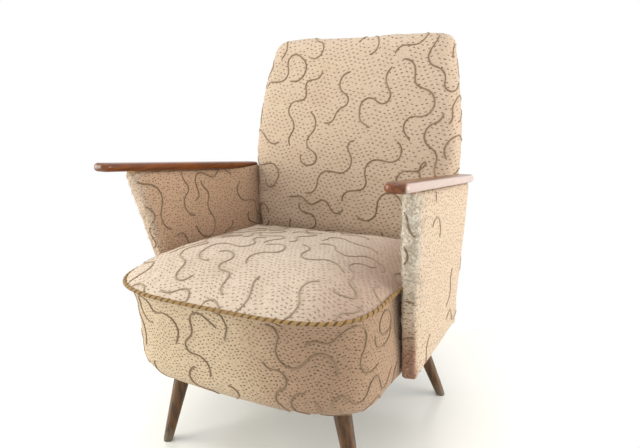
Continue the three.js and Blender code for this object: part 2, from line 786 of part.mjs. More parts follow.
for (const [side, sideName] of [[-1, "left"], [1, "right"]]) {
  const sockets = boltRowsY.flatMap((y) => [boltSocket(y), boltShank(y, seatGap)]);
  chair.add(piece(`seat_side_rail_${sideName}`, sideOf(side, cut(sideRail(), ...tenonHoles, ...sockets)), beech));
  chair.add(piece(`back_post_${sideName}`, sideOf(side, backPost()), beech));
  for (const [legName, [top, foot]] of Object.entries(legPlaces)) {
    chair.add(piece(`${legName}_${sideName}`, sideOf(side, leg(top, foot)), darkWood));
  }
  boltRowsY.forEach((y, i) => {
    chair.add(piece(`arm_bolt_${sideName}_${i + 1}`, sideOf(side, armBolt(y)), steel));
  });
  chair.add(arm(side, sideName));
}

// The origin is on the floor, below the middle of the chair
const bounds = new THREE.Box3().setFromObject(chair, true);
chair.position.y = -(bounds.min.y + bounds.max.y) / 2;
const armchair = new THREE.Group();
armchair.add(chair);

export default armchair;
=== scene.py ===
import json
import math
import random

import bmesh
import bpy
import numpy as np
from bpy.props import FloatProperty, IntProperty, PointerProperty
from mathutils import Matrix, Vector, noise
from mathutils.bvhtree import BVHTree
from mathutils.geometry import barycentric_transform
from mathutils.kdtree import KDTree


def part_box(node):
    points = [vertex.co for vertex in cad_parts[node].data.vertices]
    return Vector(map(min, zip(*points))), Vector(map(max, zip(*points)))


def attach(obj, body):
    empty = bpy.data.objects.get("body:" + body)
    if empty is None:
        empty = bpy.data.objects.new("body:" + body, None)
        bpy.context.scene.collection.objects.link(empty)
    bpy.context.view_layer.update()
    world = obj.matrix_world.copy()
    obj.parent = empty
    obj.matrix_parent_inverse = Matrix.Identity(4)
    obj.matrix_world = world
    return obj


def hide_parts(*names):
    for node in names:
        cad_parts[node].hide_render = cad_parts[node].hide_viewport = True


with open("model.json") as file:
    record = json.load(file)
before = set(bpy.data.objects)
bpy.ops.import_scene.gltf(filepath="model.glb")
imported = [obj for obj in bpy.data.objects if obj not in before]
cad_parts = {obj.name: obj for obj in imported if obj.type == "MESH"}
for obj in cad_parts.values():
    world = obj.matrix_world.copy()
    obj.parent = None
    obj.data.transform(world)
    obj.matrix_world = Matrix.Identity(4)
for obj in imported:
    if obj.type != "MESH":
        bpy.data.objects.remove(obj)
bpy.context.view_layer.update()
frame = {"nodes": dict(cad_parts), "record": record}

bl_info = {
    "name": "Sagging old armchair",
    "version": (1, 0, 0),
    "blender": (4, 5, 0),
    "location": "View3D > Sidebar > Armchair",
    "description": "Covers, cords, woodwork, wear and studio for a worn cocktail armchair",
    "category": "Object",
}

# Nodes whose outsides the covers can touch
SHELL_NODES = (
    "seat_pad", "seat_border", "seat_piping", "back_pad", "back_panel",
    "arm_pad_left", "arm_pad_right", "armrest_left", "armrest_right",
)
COVER_UV = "Cloth"
WEAR = "Wear"
# Attribute of painted shade: how much a cover is darkened where little light reaches it
PAINTED_SHADE = "Painted shade"

# How much coarser than the voxel setting each cover is meshed
COARSER = {"seat": 1.1, "back": 1.25, "arm": 1.35}
# The border's cover moves less than the seat's
BORDER_SHARE = 0.6
# Thickness of the arms, over which their cloth is wrapped
ARM_THICKNESS = 0.033
# Height of the legs' upper rims, and the number of a leg's sides
LEG_TOP = 0.1917
LEG_SIDES = 48
# The table and the camera in the chair's frame
TABLE_CORNERS = ((-0.38, -1.43), (1.2, -1.13), (0.482, 0.636), (-0.917, -0.008))
CAMERA_PLACE = (0.60985, -1.11453, 0.82664)
# Name, place, aim, size, power and tint of each lamp
LAMPS = (
    ("Right window", (2.0, 0.6, 0.62), (0.2, 0.1, 0.4), 1.3, 32, "#fff7ec"),
    ("Left window", (-1.8, -1.15, 0.98), (-0.1, 0.0, 0.4), 1.4, 41, "#fffdf2"),
    ("Ceiling", (0.1, -0.1, 2.5), (0, 0.05, 0.4), 1.8, 16, "#ffffff"),
)
# Materials, made once and shared by the operators
STOCK = {}


def metres(name, default, description):
    """A length among the settings."""
    return FloatProperty(name=name, description=description, default=default, subtype="DISTANCE")


def degrees(name, default, description):
    """An angle among the settings, given in degrees."""
    radians = math.radians(default)
    return FloatProperty(name=name, description=description, default=radians, subtype="ANGLE")


class ClothSettings(bpy.types.PropertyGroup):
    """The furnishing cloth and its woven figures."""

    dash_pitch: metres("Dash pitch", 0.0125, "Distance from dash to dash along a row")
    row_pitch: metres("Row pitch", 0.0098, "Distance from row to row")
    dash_length: metres("Dash length", 0.0048, "Length of one brown dash")
    dash_width: metres("Dash width", 0.0021, "Width of one brown dash")
    zigzag_period: metres("Zigzag period", 0.074, "Width of one up and down of the rows")
    zigzag_height: metres("Zigzag height", 0.011, "Rise of the rows within half a period")
    yarn_diameter: metres("Yarn diameter", 0.0044, "Chenille yarn of the curling lines")
    curl_pitch: metres("Curl pitch", 0.104, "Distance between neighbouring curling lines")


class CushionSettings(bpy.types.PropertyGroup):
    """How the padded pieces are meshed and blown up under their covers."""

    voxel: metres("Voxel", 0.006, "Mesh size of the covers before subdivision")
    inset: metres("Inset", 0.002, "How far a cover starts inside the padded form")
    pressure: FloatProperty(name="Pressure", description="Pressure of the stuffing", default=4.0)
    frames: IntProperty(name="Frames", description="Length of the cloth simulation", default=20)
    seat_cap: metres("Seat cap", 0.008, "Greatest movement of the seat's cover")
    back_cap: metres("Back cap", 0.007, "Greatest movement of the back's cover")
    arm_cap: metres("Arm cap", 0.004, "Greatest movement of an arm's cover")


class WoodSettings(bpy.types.PropertyGroup):
    """Armrests and legs."""

    rest_length: metres("Armrest length", 0.484, "Length of an armrest")
    rest_width: metres("Armrest width", 0.042, "Width of an armrest")
    rest_thickness: metres("Armrest thickness", 0.018, "Thickness of an armrest")
    rest_slope: degrees("Armrest slope", 9.2, "Fall of the armrests to the back")
    rest_edge: metres("Armrest edge", 0.008, "Radius of the armrests' edges")
    left_reach: metres("Left reach", 0.062, "How much longer the left armrest is at its rear")
    toe_in: degrees("Toe-in", 1.5, "Turn of the left armrest towards the back")
    foot_wear: metres("Foot wear", 0.035, "Height of the scuffed part of the legs")


class CordSettings(bpy.types.PropertyGroup):
    """The twisted piping cord."""

    strand_radius: metres("Strand radius", 0.0021, "Radius of one of the cord's strands")
    twist_pitch: metres("Twist pitch", 0.015, "Length of one full twist")
    strands: IntProperty(name="Strands", description="Number of strands", default=3)


class StudioSettings(bpy.types.PropertyGroup):
    """Camera, floor and light."""

    lens: FloatProperty(name="Lens", description="Focal length in mm on a 36 mm sensor", default=32.451)
    shift_y: FloatProperty(name="Shift", description="Vertical shift of the picture", default=0.00126)
    yaw: degrees("Yaw", 27.256, "Turn of the camera towards the chair's left")
    pitch: degrees("Pitch", 16.092, "How far the camera looks down")
    roll: degrees("Roll", -2.057, "Roll of the camera")


def colour(hex_code):
    """An sRGB hex colour as a linear RGBA tuple."""
    parts = [int(hex_code[i:i + 2], 16) / 255 for i in (1, 3, 5)]
    return tuple(c / 12.92 if c <= 0.04045 else ((c + 0.055) / 1.055) ** 2.4 for c in parts) + (1.0,)


def add_node(tree, kind, inputs=None, **settings):
    """Adds a node, sets its properties, and sets or links its inputs."""
    made = tree.nodes.new(kind)
    for key, value in settings.items():
        setattr(made, key, value)
    for key, value in (inputs or {}).items():
        if isinstance(value, bpy.types.NodeSocket):
            tree.links.new(value, made.inputs[key])
        else:
            made.inputs[key].default_value = value
    return made


def calc(tree, operation, *values, clamp=False):
    """One Math node's output."""
    inputs = dict(enumerate(values))
    return add_node(tree, "ShaderNodeMath", inputs, operation=operation, use_clamp=clamp).outputs[0]


def fade(tree, value, low, high, start=0.0, end=1.0):
    """Smooth step of a value from start to end between low and high."""
    inputs = {0: value, 1: low, 2: high, 3: start, 4: end}
    return add_node(tree, "ShaderNodeMapRange", inputs, interpolation_type="SMOOTHSTEP").outputs[0]


def mix(tree, share, first, second, blend="MIX"):
    """Mixes two colours."""
    made = add_node(tree, "ShaderNodeMix", data_type="RGBA", blend_type=blend)
    for socket, value in zip((made.inputs[0], made.inputs[6], made.inputs[7]), (share, first, second)):
        if isinstance(value, bpy.types.NodeSocket):
            tree.links.new(value, socket)
        else:
            socket.default_value = value
    return made.outputs[2]


def tones(tree, value, low, high, first, second):
    """Fades from one hex colour to another while a value rises from low to high."""
    return mix(tree, fade(tree, value, low, high), colour(first), colour(second))


def stained(tree, tone, value, low, high, most, stain):
    """Covers a tone with a hex colour, up to the share most, while a value rises from low to high."""
    return mix(tree, fade(tree, value, low, high, 0.0, most), tone, colour(stain))


def grain(tree, vector, scale, detail=2.0, roughness=0.5):
    """Noise of a size given as features per metre."""
    inputs = {"Vector": vector, "Scale": scale, "Detail": detail, "Roughness": roughness}
    return add_node(tree, "ShaderNodeTexNoise", inputs).outputs[0]


def new_material(name, **constants):
    """A material with one Principled shader, whose constants are set on its own sockets."""
    material = bpy.data.materials.new(name)
    material.use_nodes = True
    tree = material.node_tree
    shader = tree.nodes["Principled BSDF"]
    for key, value in constants.items():
        shader.inputs[key.replace("_", " ")].default_value = value
    return material, tree, shader


def object_point(tree):
    """The shaded point in metres, in the chair's frame."""
    return add_node(tree, "ShaderNodeTexCoord").outputs["Object"]


def split(tree, vector):
    """A vector's three values."""
    return add_node(tree, "ShaderNodeSeparateXYZ", {0: vector}).outputs


def stretched(tree, vector, factors):
    """A vector multiplied axis by axis."""
    return add_node(tree, "ShaderNodeVectorMath", {0: vector, 1: factors}, operation="MULTIPLY").outputs[0]


def wire(tree, shader, colour_socket, height=None, strength=0.5, distance=0.001, rough=None):
    """Links colour, bump and roughness to the shader."""
    tree.links.new(colour_socket, shader.inputs["Base Color"])
    if rough is not None:
        tree.links.new(rough, shader.inputs["Roughness"])
    if height is not None:
        inputs = {"Height": height, "Strength": strength, "Distance": distance}
        bump = add_node(tree, "ShaderNodeBump", inputs)
        tree.links.new(bump.outputs[0], shader.inputs["Normal"])


def cover_cloth(settings, name, light, dark, spot, strength=1.0, size=1.0, closer=1.0, loose=0.12):
    """Boucle furnishing cloth: a looped beige ground with short brown dashes in zigzag rows."""
    material, tree, shader = new_material(
        name, Roughness=0.92, Sheen_Weight=0.12, Sheen_Roughness=0.5, Specular_IOR_Level=0.2
    )
    pitch, row_pitch = settings.dash_pitch * closer, settings.row_pitch * closer
    length, width = settings.dash_length * size, settings.dash_width * (1 + size) / 2
    uv = add_node(tree, "ShaderNodeUVMap", uv_map=COVER_UV).outputs[0]
    u, v, _ = split(tree, uv)
    worn = add_node(tree, "ShaderNodeAttribute", attribute_name=WEAR).outputs["Fac"]
    place = object_point(tree)

    # Rows of dashes follow a triangle wave across the width of the cloth
    wave = calc(tree, "PINGPONG", u, settings.zigzag_period / 2)
    drift = calc(tree, "MULTIPLY", calc(tree, "SUBTRACT", grain(tree, uv, 38.0, 1.0), 0.5), 0.006)
    lean = settings.zigzag_height / (settings.zigzag_period / 2)
    along_row = calc(tree, "ADD", calc(tree, "MULTIPLY_ADD", wave, lean, v), drift)
    row = calc(tree, "DIVIDE", along_row, row_pitch)
    row_number = calc(tree, "FLOOR", row)
    column = calc(tree, "ADD", calc(tree, "DIVIDE", u, pitch), calc(tree, "MULTIPLY", row_number, 0.381))
    column_number = calc(tree, "FLOOR", column)
    cell = add_node(tree, "ShaderNodeCombineXYZ", {0: column_number, 1: row_number}).outputs[0]
    dice = add_node(tree, "ShaderNodeTexWhiteNoise", {"Vector": cell}, noise_dimensions="2D")
    rolls = split(tree, dice.outputs["Color"])
    middle_x = calc(tree, "MULTIPLY_ADD", rolls[0], loose, 0.5 - loose / 2)
    middle_y = calc(tree, "MULTIPLY_ADD", rolls[1], loose, 0.5 - loose / 2)
    in_x = calc(tree, "SUBTRACT", calc(tree, "FRACT", column), middle_x)
    in_y = calc(tree, "SUBTRACT", calc(tree, "FRACT", row), middle_y)
    across = calc(tree, "MULTIPLY", calc(tree, "ABSOLUTE", in_x), pitch)
    upward = calc(tree, "MULTIPLY", calc(tree, "ABSOLUTE", in_y), row_pitch)
    fray = calc(tree, "MULTIPLY", calc(tree, "SUBTRACT", grain(tree, uv, 900.0, 1.0), 0.5), 0.0016)
    beyond_end = calc(tree, "SUBTRACT", across, length / 2)
    beyond_side = calc(tree, "SUBTRACT", upward, width / 2)
    outside = calc(tree, "ADD", calc(tree, "MAXIMUM", beyond_end, beyond_side), fray)
    dash = fade(tree, outside, 0.0004, -0.0004)
    kept = fade(tree, rolls[2], 0.06, 0.22)
    dash = calc(tree, "MULTIPLY", calc(tree, "MULTIPLY", dash, kept), strength)
    dash = calc(tree, "MULTIPLY", dash, fade(tree, worn, 0.25, 0.75, 1.0, 0.25))

    # Looped ground: curly yarns of two tones with small dark and light specks
    loops = grain(tree, uv, 420.0, 3.0, 0.65)
    specks = add_node(tree, "ShaderNodeTexVoronoi", {"Vector": uv, "Scale": 620.0}).outputs["Distance"]
    ground = tones(tree, loops, 0.32, 0.68, dark, light)
    ground = stained(tree, ground, specks, 0.55, 0.85, 0.4, "#85705c")
    # Dirt: large patches of a darker stain
    dirt_and_painted_shade = grain(tree, place, 9.0, 4.0, 0.6)
    ground = stained(tree, ground, dirt_and_painted_shade, 0.5, 0.78, 0.25, "#a88d70")
    # Painted shade: the ground is multiplied by a darker tone as far as the cover's painted-shade attribute
    # says
    painted_shade = add_node(tree, "ShaderNodeAttribute", attribute_name=PAINTED_SHADE).outputs["Fac"]
    ground = mix(tree, painted_shade, ground, colour("#bea199"), "MULTIPLY")
    worn_tone = tones(tree, grain(tree, place, 240.0, 3.0), 0.4, 0.62, "#b3a792", "#e4dacb")
    patchy = calc(tree, "MULTIPLY", worn, fade(tree, grain(tree, place, 55.0, 3.0), 0.3, 0.6, 0.55, 1.0))
    ground = mix(tree, patchy, ground, worn_tone)
    brown = mix(tree, rolls[0], colour(spot), colour("#6d5240"))
    finished = mix(tree, dash, ground, brown)
    height = calc(tree, "ADD", loops, calc(tree, "MULTIPLY", specks, 0.6))
    wire(tree, shader, finished, height, strength=0.75, distance=0.0014)
    return material


def chenille(name, first, second):
    """Chenille yarn: short brown pile twisted on a core and laid on the cloth's face."""
    material, tree, shader = new_material(name, Roughness=0.95, Sheen_Weight=0.2, Specular_IOR_Level=0.15)
    place = object_point(tree)
    pile = grain(tree, place, 1100.0, 2.0, 0.7)
    tone = tones(tree, pile, 0.3, 0.7, first, second)
    faded_and_painted_highlight = stained(tree, tone, grain(tree, place, 16.0, 2.0), 0.4, 0.75, 0.35, "#b89c80")
    wire(tree, shader, faded_and_painted_highlight, pile, strength=0.8, distance=0.0008)
    return material


def twisted_cord(name, dark, light):
    """Rayon and cotton piping cord, gold-brown, dulled by use."""
    material, tree, shader = new_material(name, Roughness=0.72, Sheen_Weight=0.1, Specular_IOR_Level=0.3)
    place = object_point(tree)
    threads = grain(tree, place, 1300.0, 2.0, 0.7)
    tone = tones(tree, threads, 0.3, 0.7, dark, light)
    tone = stained(tree, tone, grain(tree, place, 14.0, 2.0), 0.45, 0.7, 0.5, "#8e6f44")
    wire(tree, shader, tone, threads, strength=0.6, distance=0.0006)
    return material


def varnished_wood(name, light, dark, axis_stretch, rough, coat, wear_height=0.0, painted_highlight_from=0.0):
    """Beech stained brown and varnished by brush; the varnish is worn to the wood at the feet, and the right
    armrest's outer side has a painted pale highlight.
    """
    material, tree, shader = new_material(
        name, Roughness=rough, Coat_Weight=coat, Coat_Roughness=0.12, Specular_IOR_Level=0.35
    )
    place = object_point(tree)
    fibres = stretched(tree, place, axis_stretch)
    bands = grain(tree, fibres, 150.0, 5.0, 0.6)
    pores = grain(tree, fibres, 900.0, 2.0, 0.5)
    tone = tones(tree, bands, 0.3, 0.7, dark, light)
    tone = stained(tree, tone, pores, 0.58, 0.72, 0.45, "#2e1a0d")
    height = calc(tree, "MULTIPLY", pores, 0.4)
    rubbed = None
    # Painted highlight: beyond the given x the armrest's outer side takes a pale pinkish tone standing in for
    # the window's reflection
    if painted_highlight_from:
        faded_and_painted_highlight = fade(tree, split(tree, place)[0], painted_highlight_from - 0.004, painted_highlight_from, 0.0, 0.85)
        tone = mix(tree, faded_and_painted_highlight, tone, mix(tree, bands, colour("#b9a094"), colour("#ccb9ad")))
    if wear_height > 0:
        ragged = calc(tree, "MULTIPLY", grain(tree, place, 90.0, 3.0), -0.05)
        ragged = calc(tree, "ADD", split(tree, place)[2], ragged)
        scuffed = fade(tree, ragged, wear_height - 0.02, -0.02, 0.0, 0.85)
        tone = mix(tree, scuffed, tone, colour("#6b6150"))
        rubbed = calc(tree, "MULTIPLY_ADD", scuffed, 0.35, rough)
    wire(tree, shader, tone, height, strength=0.25, distance=0.0004, rough=rubbed)
    return material


def plain_wood():
    """Sawn beech, left bare inside the frame."""
    material, tree, shader = new_material("Bare sawn beech", Roughness=0.8)
    fibres = stretched(tree, object_point(tree), (0.15, 1.0, 1.0))
    bands = grain(tree, fibres, 120.0, 4.0, 0.6)
    tone = tones(tree, bands, 0.3, 0.7, "#a8834f", "#d3b487")
    wire(tree, shader, tone, bands, strength=0.3, distance=0.0004)
    return material


def woven(name, warp, weft, threads_per_metre, rough=0.92):
    """Plain-woven cloth such as jute webbing, hessian or lining."""
    material, tree, shader = new_material(name, Roughness=rough, Specular_IOR_Level=0.2)
    x, y, z = split(tree, object_point(tree))
    turns = threads_per_metre * math.pi
    over = calc(tree, "SINE", calc(tree, "MULTIPLY", x, turns))
    under = calc(tree, "SINE", calc(tree, "MULTIPLY", calc(tree, "ADD", y, z), turns))
    weave = calc(tree, "MULTIPLY_ADD", calc(tree, "MULTIPLY", over, under), 0.5, 0.5)
    tone = mix(tree, weave, colour(warp), colour(weft))
    tone = stained(tree, tone, grain(tree, object_point(tree), 30.0, 3.0), 0.4, 0.7, 0.3, warp)
    wire(tree, shader, tone, weave, strength=0.6, distance=0.0006)
    return material


def steel(name, tone, rough):
    """Drawn steel, dulled in the air."""
    material, tree, shader = new_material(name, Metallic=1.0, Roughness=rough)
    patches = grain(tree, object_point(tree), 260.0, 3.0)
    finished = mix(tree, fade(tree, patches, 0.45, 0.75, 0.0, 0.5), colour(tone), colour("#6a5444"))
    wire(tree, shader, finished, patches, strength=0.2, distance=0.0003)
    return material


def lint_fibre():
    """Loose cotton and wool fibres caught in the worn cloth."""
    material, tree, shader = new_material(
        "Loose lint fibres", Roughness=0.9, Sheen_Weight=0.2, Specular_IOR_Level=0.2
    )
    tint = grain(tree, object_point(tree), 35.0, 1.0)
    tone = tones(tree, tint, 0.42, 0.58, "#b3ac98", "#f0ece0")
    wire(tree, shader, tone)
    return material


def linked(name, data):
    """A new object in the scene."""
    made = bpy.data.objects.new(name, data)
    bpy.context.scene.collection.objects.link(made)
    return made


def add_object(name, mesh, material, replaces=()):
    """A visible piece of the chair, and the CAD nodes that it stands for."""
    made = linked(name, mesh)
    mesh.materials.append(material)
    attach(made, "root")
    if replaces:
        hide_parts(*replaces)
    return made


def finish_mesh(bm, name, smooth=True):
    """Writes a bmesh out as a mesh whose faces point outwards."""
    bmesh.ops.remove_doubles(bm, verts=bm.verts, dist=1e-6)
    bmesh.ops.recalc_face_normals(bm, faces=bm.faces)
    for face in bm.faces:
        face.smooth = smooth
    mesh = bpy.data.meshes.new(name)
    bm.to_mesh(mesh)
    bm.free()
    return mesh


def points_of(mesh):
    """The mesh's vertices as an array."""
    flat = np.zeros(len(mesh.vertices) * 3, np.float32)
    mesh.vertices.foreach_get("co", flat)
    return flat.reshape(-1, 3).astype(float)


def ramp(values, low, high):
    """Smooth step from 0 at low to 1 at high."""
    t = np.clip((values - low) / (high - low), 0, 1)
    return t * t * (3 - 2 * t)


def normals_of(mesh):
    """The mesh's vertex normals as an array."""
    flat = np.zeros(len(mesh.vertices) * 3, np.float32)
    mesh.vertex_normals.foreach_get("vector", flat)
    return flat.reshape(-1, 3).astype(float)


def put_points(mesh, points):
    """Moves the mesh's vertices to these points."""
    mesh.vertices.foreach_set("co", np.asarray(points, np.float32).ravel())
    mesh.update()


def node_points(*names):
    """The vertices of CAD nodes as one array."""
    return np.vstack([points_of(frame["nodes"][n].data) for n in names])


def tree_of(names):
    """A search tree over the surfaces of CAD nodes."""
    bm = bmesh.new()
    for name in names:
        bm.from_mesh(frame["nodes"][name].data)
    found = BVHTree.FromBMesh(bm)
    bm.free()
    return found


def evaluated(obj):
    """The object's mesh with its modifiers applied."""
    graph = bpy.context.evaluated_depsgraph_get()
    return bpy.data.meshes.new_from_object(obj.evaluated_get(graph))


def remeshed(names, voxel, filling=(), thicken=None, hollow=False):
    """One even mesh over CAD nodes and what fills them.

    thicken is a thin node and the way in which it gets thicker. hollow drops the skin inside.
    """
    bm = bmesh.new()
    for name in (*names, *filling):
        bm.from_mesh(frame["nodes"][name].data)
    if thicken:
        first = len(bm.verts)
        bm.from_mesh(frame["nodes"][thicken[0]].data)
        bmesh.ops.translate(bm, vec=thicken[1], verts=list(bm.verts)[first:])
    mesh = bpy.data.meshes.new("Remesh")
    bm.to_mesh(mesh)
    bm.free()
    obj = linked("Remesh", mesh)
    modifier = obj.modifiers.new("Remesh", "REMESH")
    modifier.mode = "VOXEL"
    modifier.voxel_size = voxel
    result = evaluated(obj)
    bpy.data.objects.remove(obj)
    bm = bmesh.new()
    bm.from_mesh(result)
    keep_largest(bm)
    if hollow:
        skin = BVHTree.FromBMesh(bm)
        inner = [v for v in bm.verts if skin.ray_cast(v.co + v.normal * 0.003, v.normal, 0.12)[0] is not None]
        bmesh.ops.delete(bm, geom=inner, context="VERTS")
        keep_largest(bm)
        bmesh.ops.holes_fill(bm, edges=[e for e in bm.edges if e.is_boundary], sides=0)
    bm.to_mesh(result)
    bm.free()
    return result


def keep_largest(bm):
    """Deletes every loose part but the largest."""
    largest = max(islands(bm), key=len)
    bmesh.ops.delete(bm, geom=[v for v in bm.verts if v not in largest], context="VERTS")


def islands(bm):
    """The mesh's loose parts as sets of vertices."""
    rest = set(bm.verts)
    found = []
    while rest:
        part, front = set(), [rest.pop()]
        while front:
            vertex = front.pop()
            part.add(vertex)
            for edge in vertex.link_edges:
                other = edge.other_vert(vertex)
                if other in rest:
                    rest.remove(other)
                    front.append(other)
        found.append(part)
    return found


def on_form(mesh, names, reach=0.003):
    """Moves the vertices that lie near the CAD nodes' surfaces onto them."""
    form = tree_of(names)
    points = points_of(mesh)
    for i, point in enumerate(points):
        near = form.find_nearest(Vector(point), reach)[0]
        if near is not None:
            points[i] = near
    put_points(mesh, points)


def neighbours_mean(mesh, values, rounds):
    """Averages values over each vertex's neighbours."""
    edges = np.zeros(len(mesh.edges) * 2, np.int64)
    mesh.edges.foreach_get("vertices", edges)
    a, b = edges.reshape(-1, 2).T
    values = np.array(values, float)
    for _ in range(rounds):
        total, count = values.copy(), np.ones(len(values))
        for one, other in ((a, b), (b, a)):
            np.add.at(total, one, values[other])
            np.add.at(count, one, 1)
        values = total / count
    return values


def held_share(mesh, own, seam):
    """For each vertex, 1 where the cover is held: against another piece or along a seam."""
    others = tree_of([n for n in SHELL_NODES if n not in own])
    held = np.zeros(len(mesh.vertices))
    for i, (point, normal) in enumerate(zip(points_of(mesh), normals_of(mesh))):
        place, outward = Vector(point), Vector(normal)
        if others.ray_cast(place + outward * 0.0005, outward, 0.012)[0] is not None:
            held[i] = 1.0
        elif others.find_nearest(place, seam)[0] is not None:
            held[i] = 1.0
    return held


def blown_up(mesh, held, cap, settings, bending=0.5):
    """Blows the cover up from inside with a cloth simulation and limits how far it moves."""
    obj = linked("Cover", mesh)
    group = obj.vertex_groups.new(name="Held")
    for i, share in enumerate(held):
        if share > 0.02:
            group.add([i], float(share), "REPLACE")
    modifier = obj.modifiers.new("Cloth", "CLOTH")
    cloth = modifier.settings
    cloth.quality = 4
    cloth.mass = 0.3
    cloth.tension_stiffness = 18
    cloth.compression_stiffness = 18
    cloth.shear_stiffness = 6
    cloth.bending_stiffness = bending
    cloth.use_pressure = True
    cloth.uniform_pressure_force = settings.pressure
    cloth.effector_weights.gravity = 0
    cloth.vertex_group_mass = "Held"
    modifier.collision_settings.use_collision = False
    modifier.point_cache.frame_start = 1
    modifier.point_cache.frame_end = settings.frames
    scene = bpy.context.scene
    for number in range(1, settings.frames + 1):
        scene.frame_set(number)
    result = evaluated(obj)
    scene.frame_set(1)
    bpy.data.objects.remove(obj)
    start, end = points_of(mesh), points_of(result)
    moved = end - start
    length = np.linalg.norm(moved, axis=1, keepdims=True)
    length = np.maximum(length, 1e-9)
    put_points(result, start + moved / length * cap * np.tanh(length / cap))
    return result


def padded_cover(
    name, nodes, voxel, cap, material, settings, panel, lumps, wear=None, dirt_and_painted_shade=None, seam=0.005,
    filling=(), thicken=None, hollow=False, shape=None
):
    """A stuffed piece: remeshed from its CAD form, blown up, shaped, lumpy with age and unwrapped.

    lumps is their height. wear, the painted shade (darkening of less lit parts) and shape are functions of the
    points, and panel unwraps them.
    """
    mesh = remeshed(nodes, voxel, filling, thicken, hollow)
    on_form(mesh, nodes)
    held = held_share(mesh, nodes, seam)
    held = np.clip(np.maximum(held, neighbours_mean(mesh, held, 3)), 0, 1)
    start = points_of(mesh) - normals_of(mesh) * (settings.inset * (1 - held))[:, None]
    put_points(mesh, start)
    mesh = blown_up(mesh, held, cap, settings)
    obj = linked("Skin", mesh)
    subdivision = obj.modifiers.new("Subdivision", "SUBSURF")
    subdivision.levels = subdivision.render_levels = 1
    final = evaluated(obj)
    bpy.data.objects.remove(obj)
    final.name = name

    if shape:
        put_points(final, shape(points_of(final)))
    places = points_of(final)
    swell = [
        noise.fractal(Vector(p) * 22, 0.9, 2.1, 3) + 0.6 * noise.noise(Vector(p) * 8 + Vector((3, 7, 1)))
        for p in places
    ]
    put_points(final, places + normals_of(final) * (lumps * np.array(swell))[:, None])
    for polygon in final.polygons:
        polygon.use_smooth = True
    unwrap(final, panel)
    # Real wear, and painted shade on the parts that get little light, as point attributes
    for key, rule in ((WEAR, wear), (PAINTED_SHADE, dirt_and_painted_shade)):
        values = np.zeros(len(final.vertices)) if rule is None else rule(points_of(final))
        final.attributes.new(key, "FLOAT", "POINT").data.foreach_set("value", values.astype(np.float32))
    return add_object(name, final, material, nodes)


def unwrap(mesh, panel):
    """Gives each face corner its place in metres on the flat cloth, as panel(points, normals) says."""
    count = len(mesh.loops)
    corner_vertex = np.zeros(count, np.int64)
    mesh.loops.foreach_get("vertex_index", corner_vertex)
    totals = np.zeros(len(mesh.polygons), np.int64)
    mesh.polygons.foreach_get("loop_total", totals)
    normals = np.zeros(len(mesh.polygons) * 3, np.float32)
    mesh.polygons.foreach_get("normal", normals)
    normals = np.repeat(normals.reshape(-1, 3), totals, axis=0)
    flat = panel(points_of(mesh)[corner_vertex], normals)
    layer = mesh.uv_layers.new(name=COVER_UV)
    layer.data.foreach_set("uv", np.asarray(flat, np.float32).ravel())


def run_along(path):
    """The distance along a line to each of its points."""
    return np.r_[0, np.cumsum(np.linalg.norm(np.diff(path, axis=0), axis=1))]


def smoothed(line, rounds):
    """Evens a line out while its ends stay in place."""
    for _ in range(rounds):
        line[1:-1] = (line[:-2] + 2 * line[1:-1] + line[2:]) / 4
    return line


def cord_path():
    """The piping's centre line as points in order, from the CAD node's rings."""
    points = node_points("seat_piping")
    left = list(range(len(points)))
    centres = []
    while left:
        seed = left[0]
        near = [i for i in left if np.linalg.norm(points[i] - points[seed]) < 0.0088]
        centres.append(points[near].mean(0))
        left = [i for i in left if i not in near]
    centres = np.array(centres)
    start = int(np.lexsort((-centres[:, 1], centres[:, 0] > 0))[0])
    order = [start]
    rest = set(range(len(centres))) - {start}
    while rest:
        last = centres[order[-1]]
        step = min(rest, key=lambda i: np.linalg.norm(centres[i] - last))
        order.append(step)
        rest.remove(step)
    return centres[order]


def resampled(path, step):
    """Points at even steps along a smooth curve through the path."""
    path = np.asarray(path, float)
    lengths = run_along(path)
    count = max(2, int(lengths[-1] / step))
    at = np.linspace(0, lengths[-1], count)
    even = np.stack([np.interp(at, lengths, path[:, k]) for k in range(3)], 1)
    return smoothed(even, 6)


def tube(bm, path, radii, sides, flatten=None):
    """Adds a tube along a path with a radius at each point.

    flatten is (normals, share) and squashes the tube onto a surface.
    """
    path = [Vector(p) for p in path]
    rings = []
    side = None
    for i, point in enumerate(path):
        ahead = (path[min(i + 1, len(path) - 1)] - path[max(i - 1, 0)]).normalized()
        if flatten is not None:
            up = Vector(flatten[0][i])
            side = ahead.cross(up).normalized()
            up = side.cross(ahead).normalized() * flatten[1]
        else:
            if side is None:
                side = ahead.orthogonal()
            side = (side - ahead * side.dot(ahead)).normalized()
            up = side.cross(ahead)
        ring = []
        for k in range(sides):
            angle = 2 * math.pi * k / sides
            ring.append(bm.verts.new(point + (side * math.cos(angle) + up * math.sin(angle)) * radii[i]))
        rings.append(ring)
    skin_over(bm, rings)


def skin_over(bm, rings):
    """Joins rings of vertices into a tube and closes its ends."""
    for first, second in zip(rings, rings[1:]):
        for k in range(len(first)):
            n = (k + 1) % len(first)
            bm.faces.new((first[k], first[n], second[n], second[k]))
    bm.faces.new(rings[0][::-1])
    bm.faces.new(rings[-1])


def cuts_of(name, heights):
    """For each height, the points where a level plane cuts the CAD node's surface."""
    bm = bmesh.new()
    bm.from_mesh(frame["nodes"][name].data)
    cuts = []
    for z in heights:
        part = bm.copy()
        everything = part.verts[:] + part.edges[:] + part.faces[:]
        cut = bmesh.ops.bisect_plane(part, geom=everything, plane_co=(0, 0, z), plane_no=(0, 0, 1))
        cuts.append(np.array([g.co[:] for g in cut["geom_cut"] if isinstance(g, bmesh.types.BMVert)]))
        part.free()
    bm.free()
    return cuts


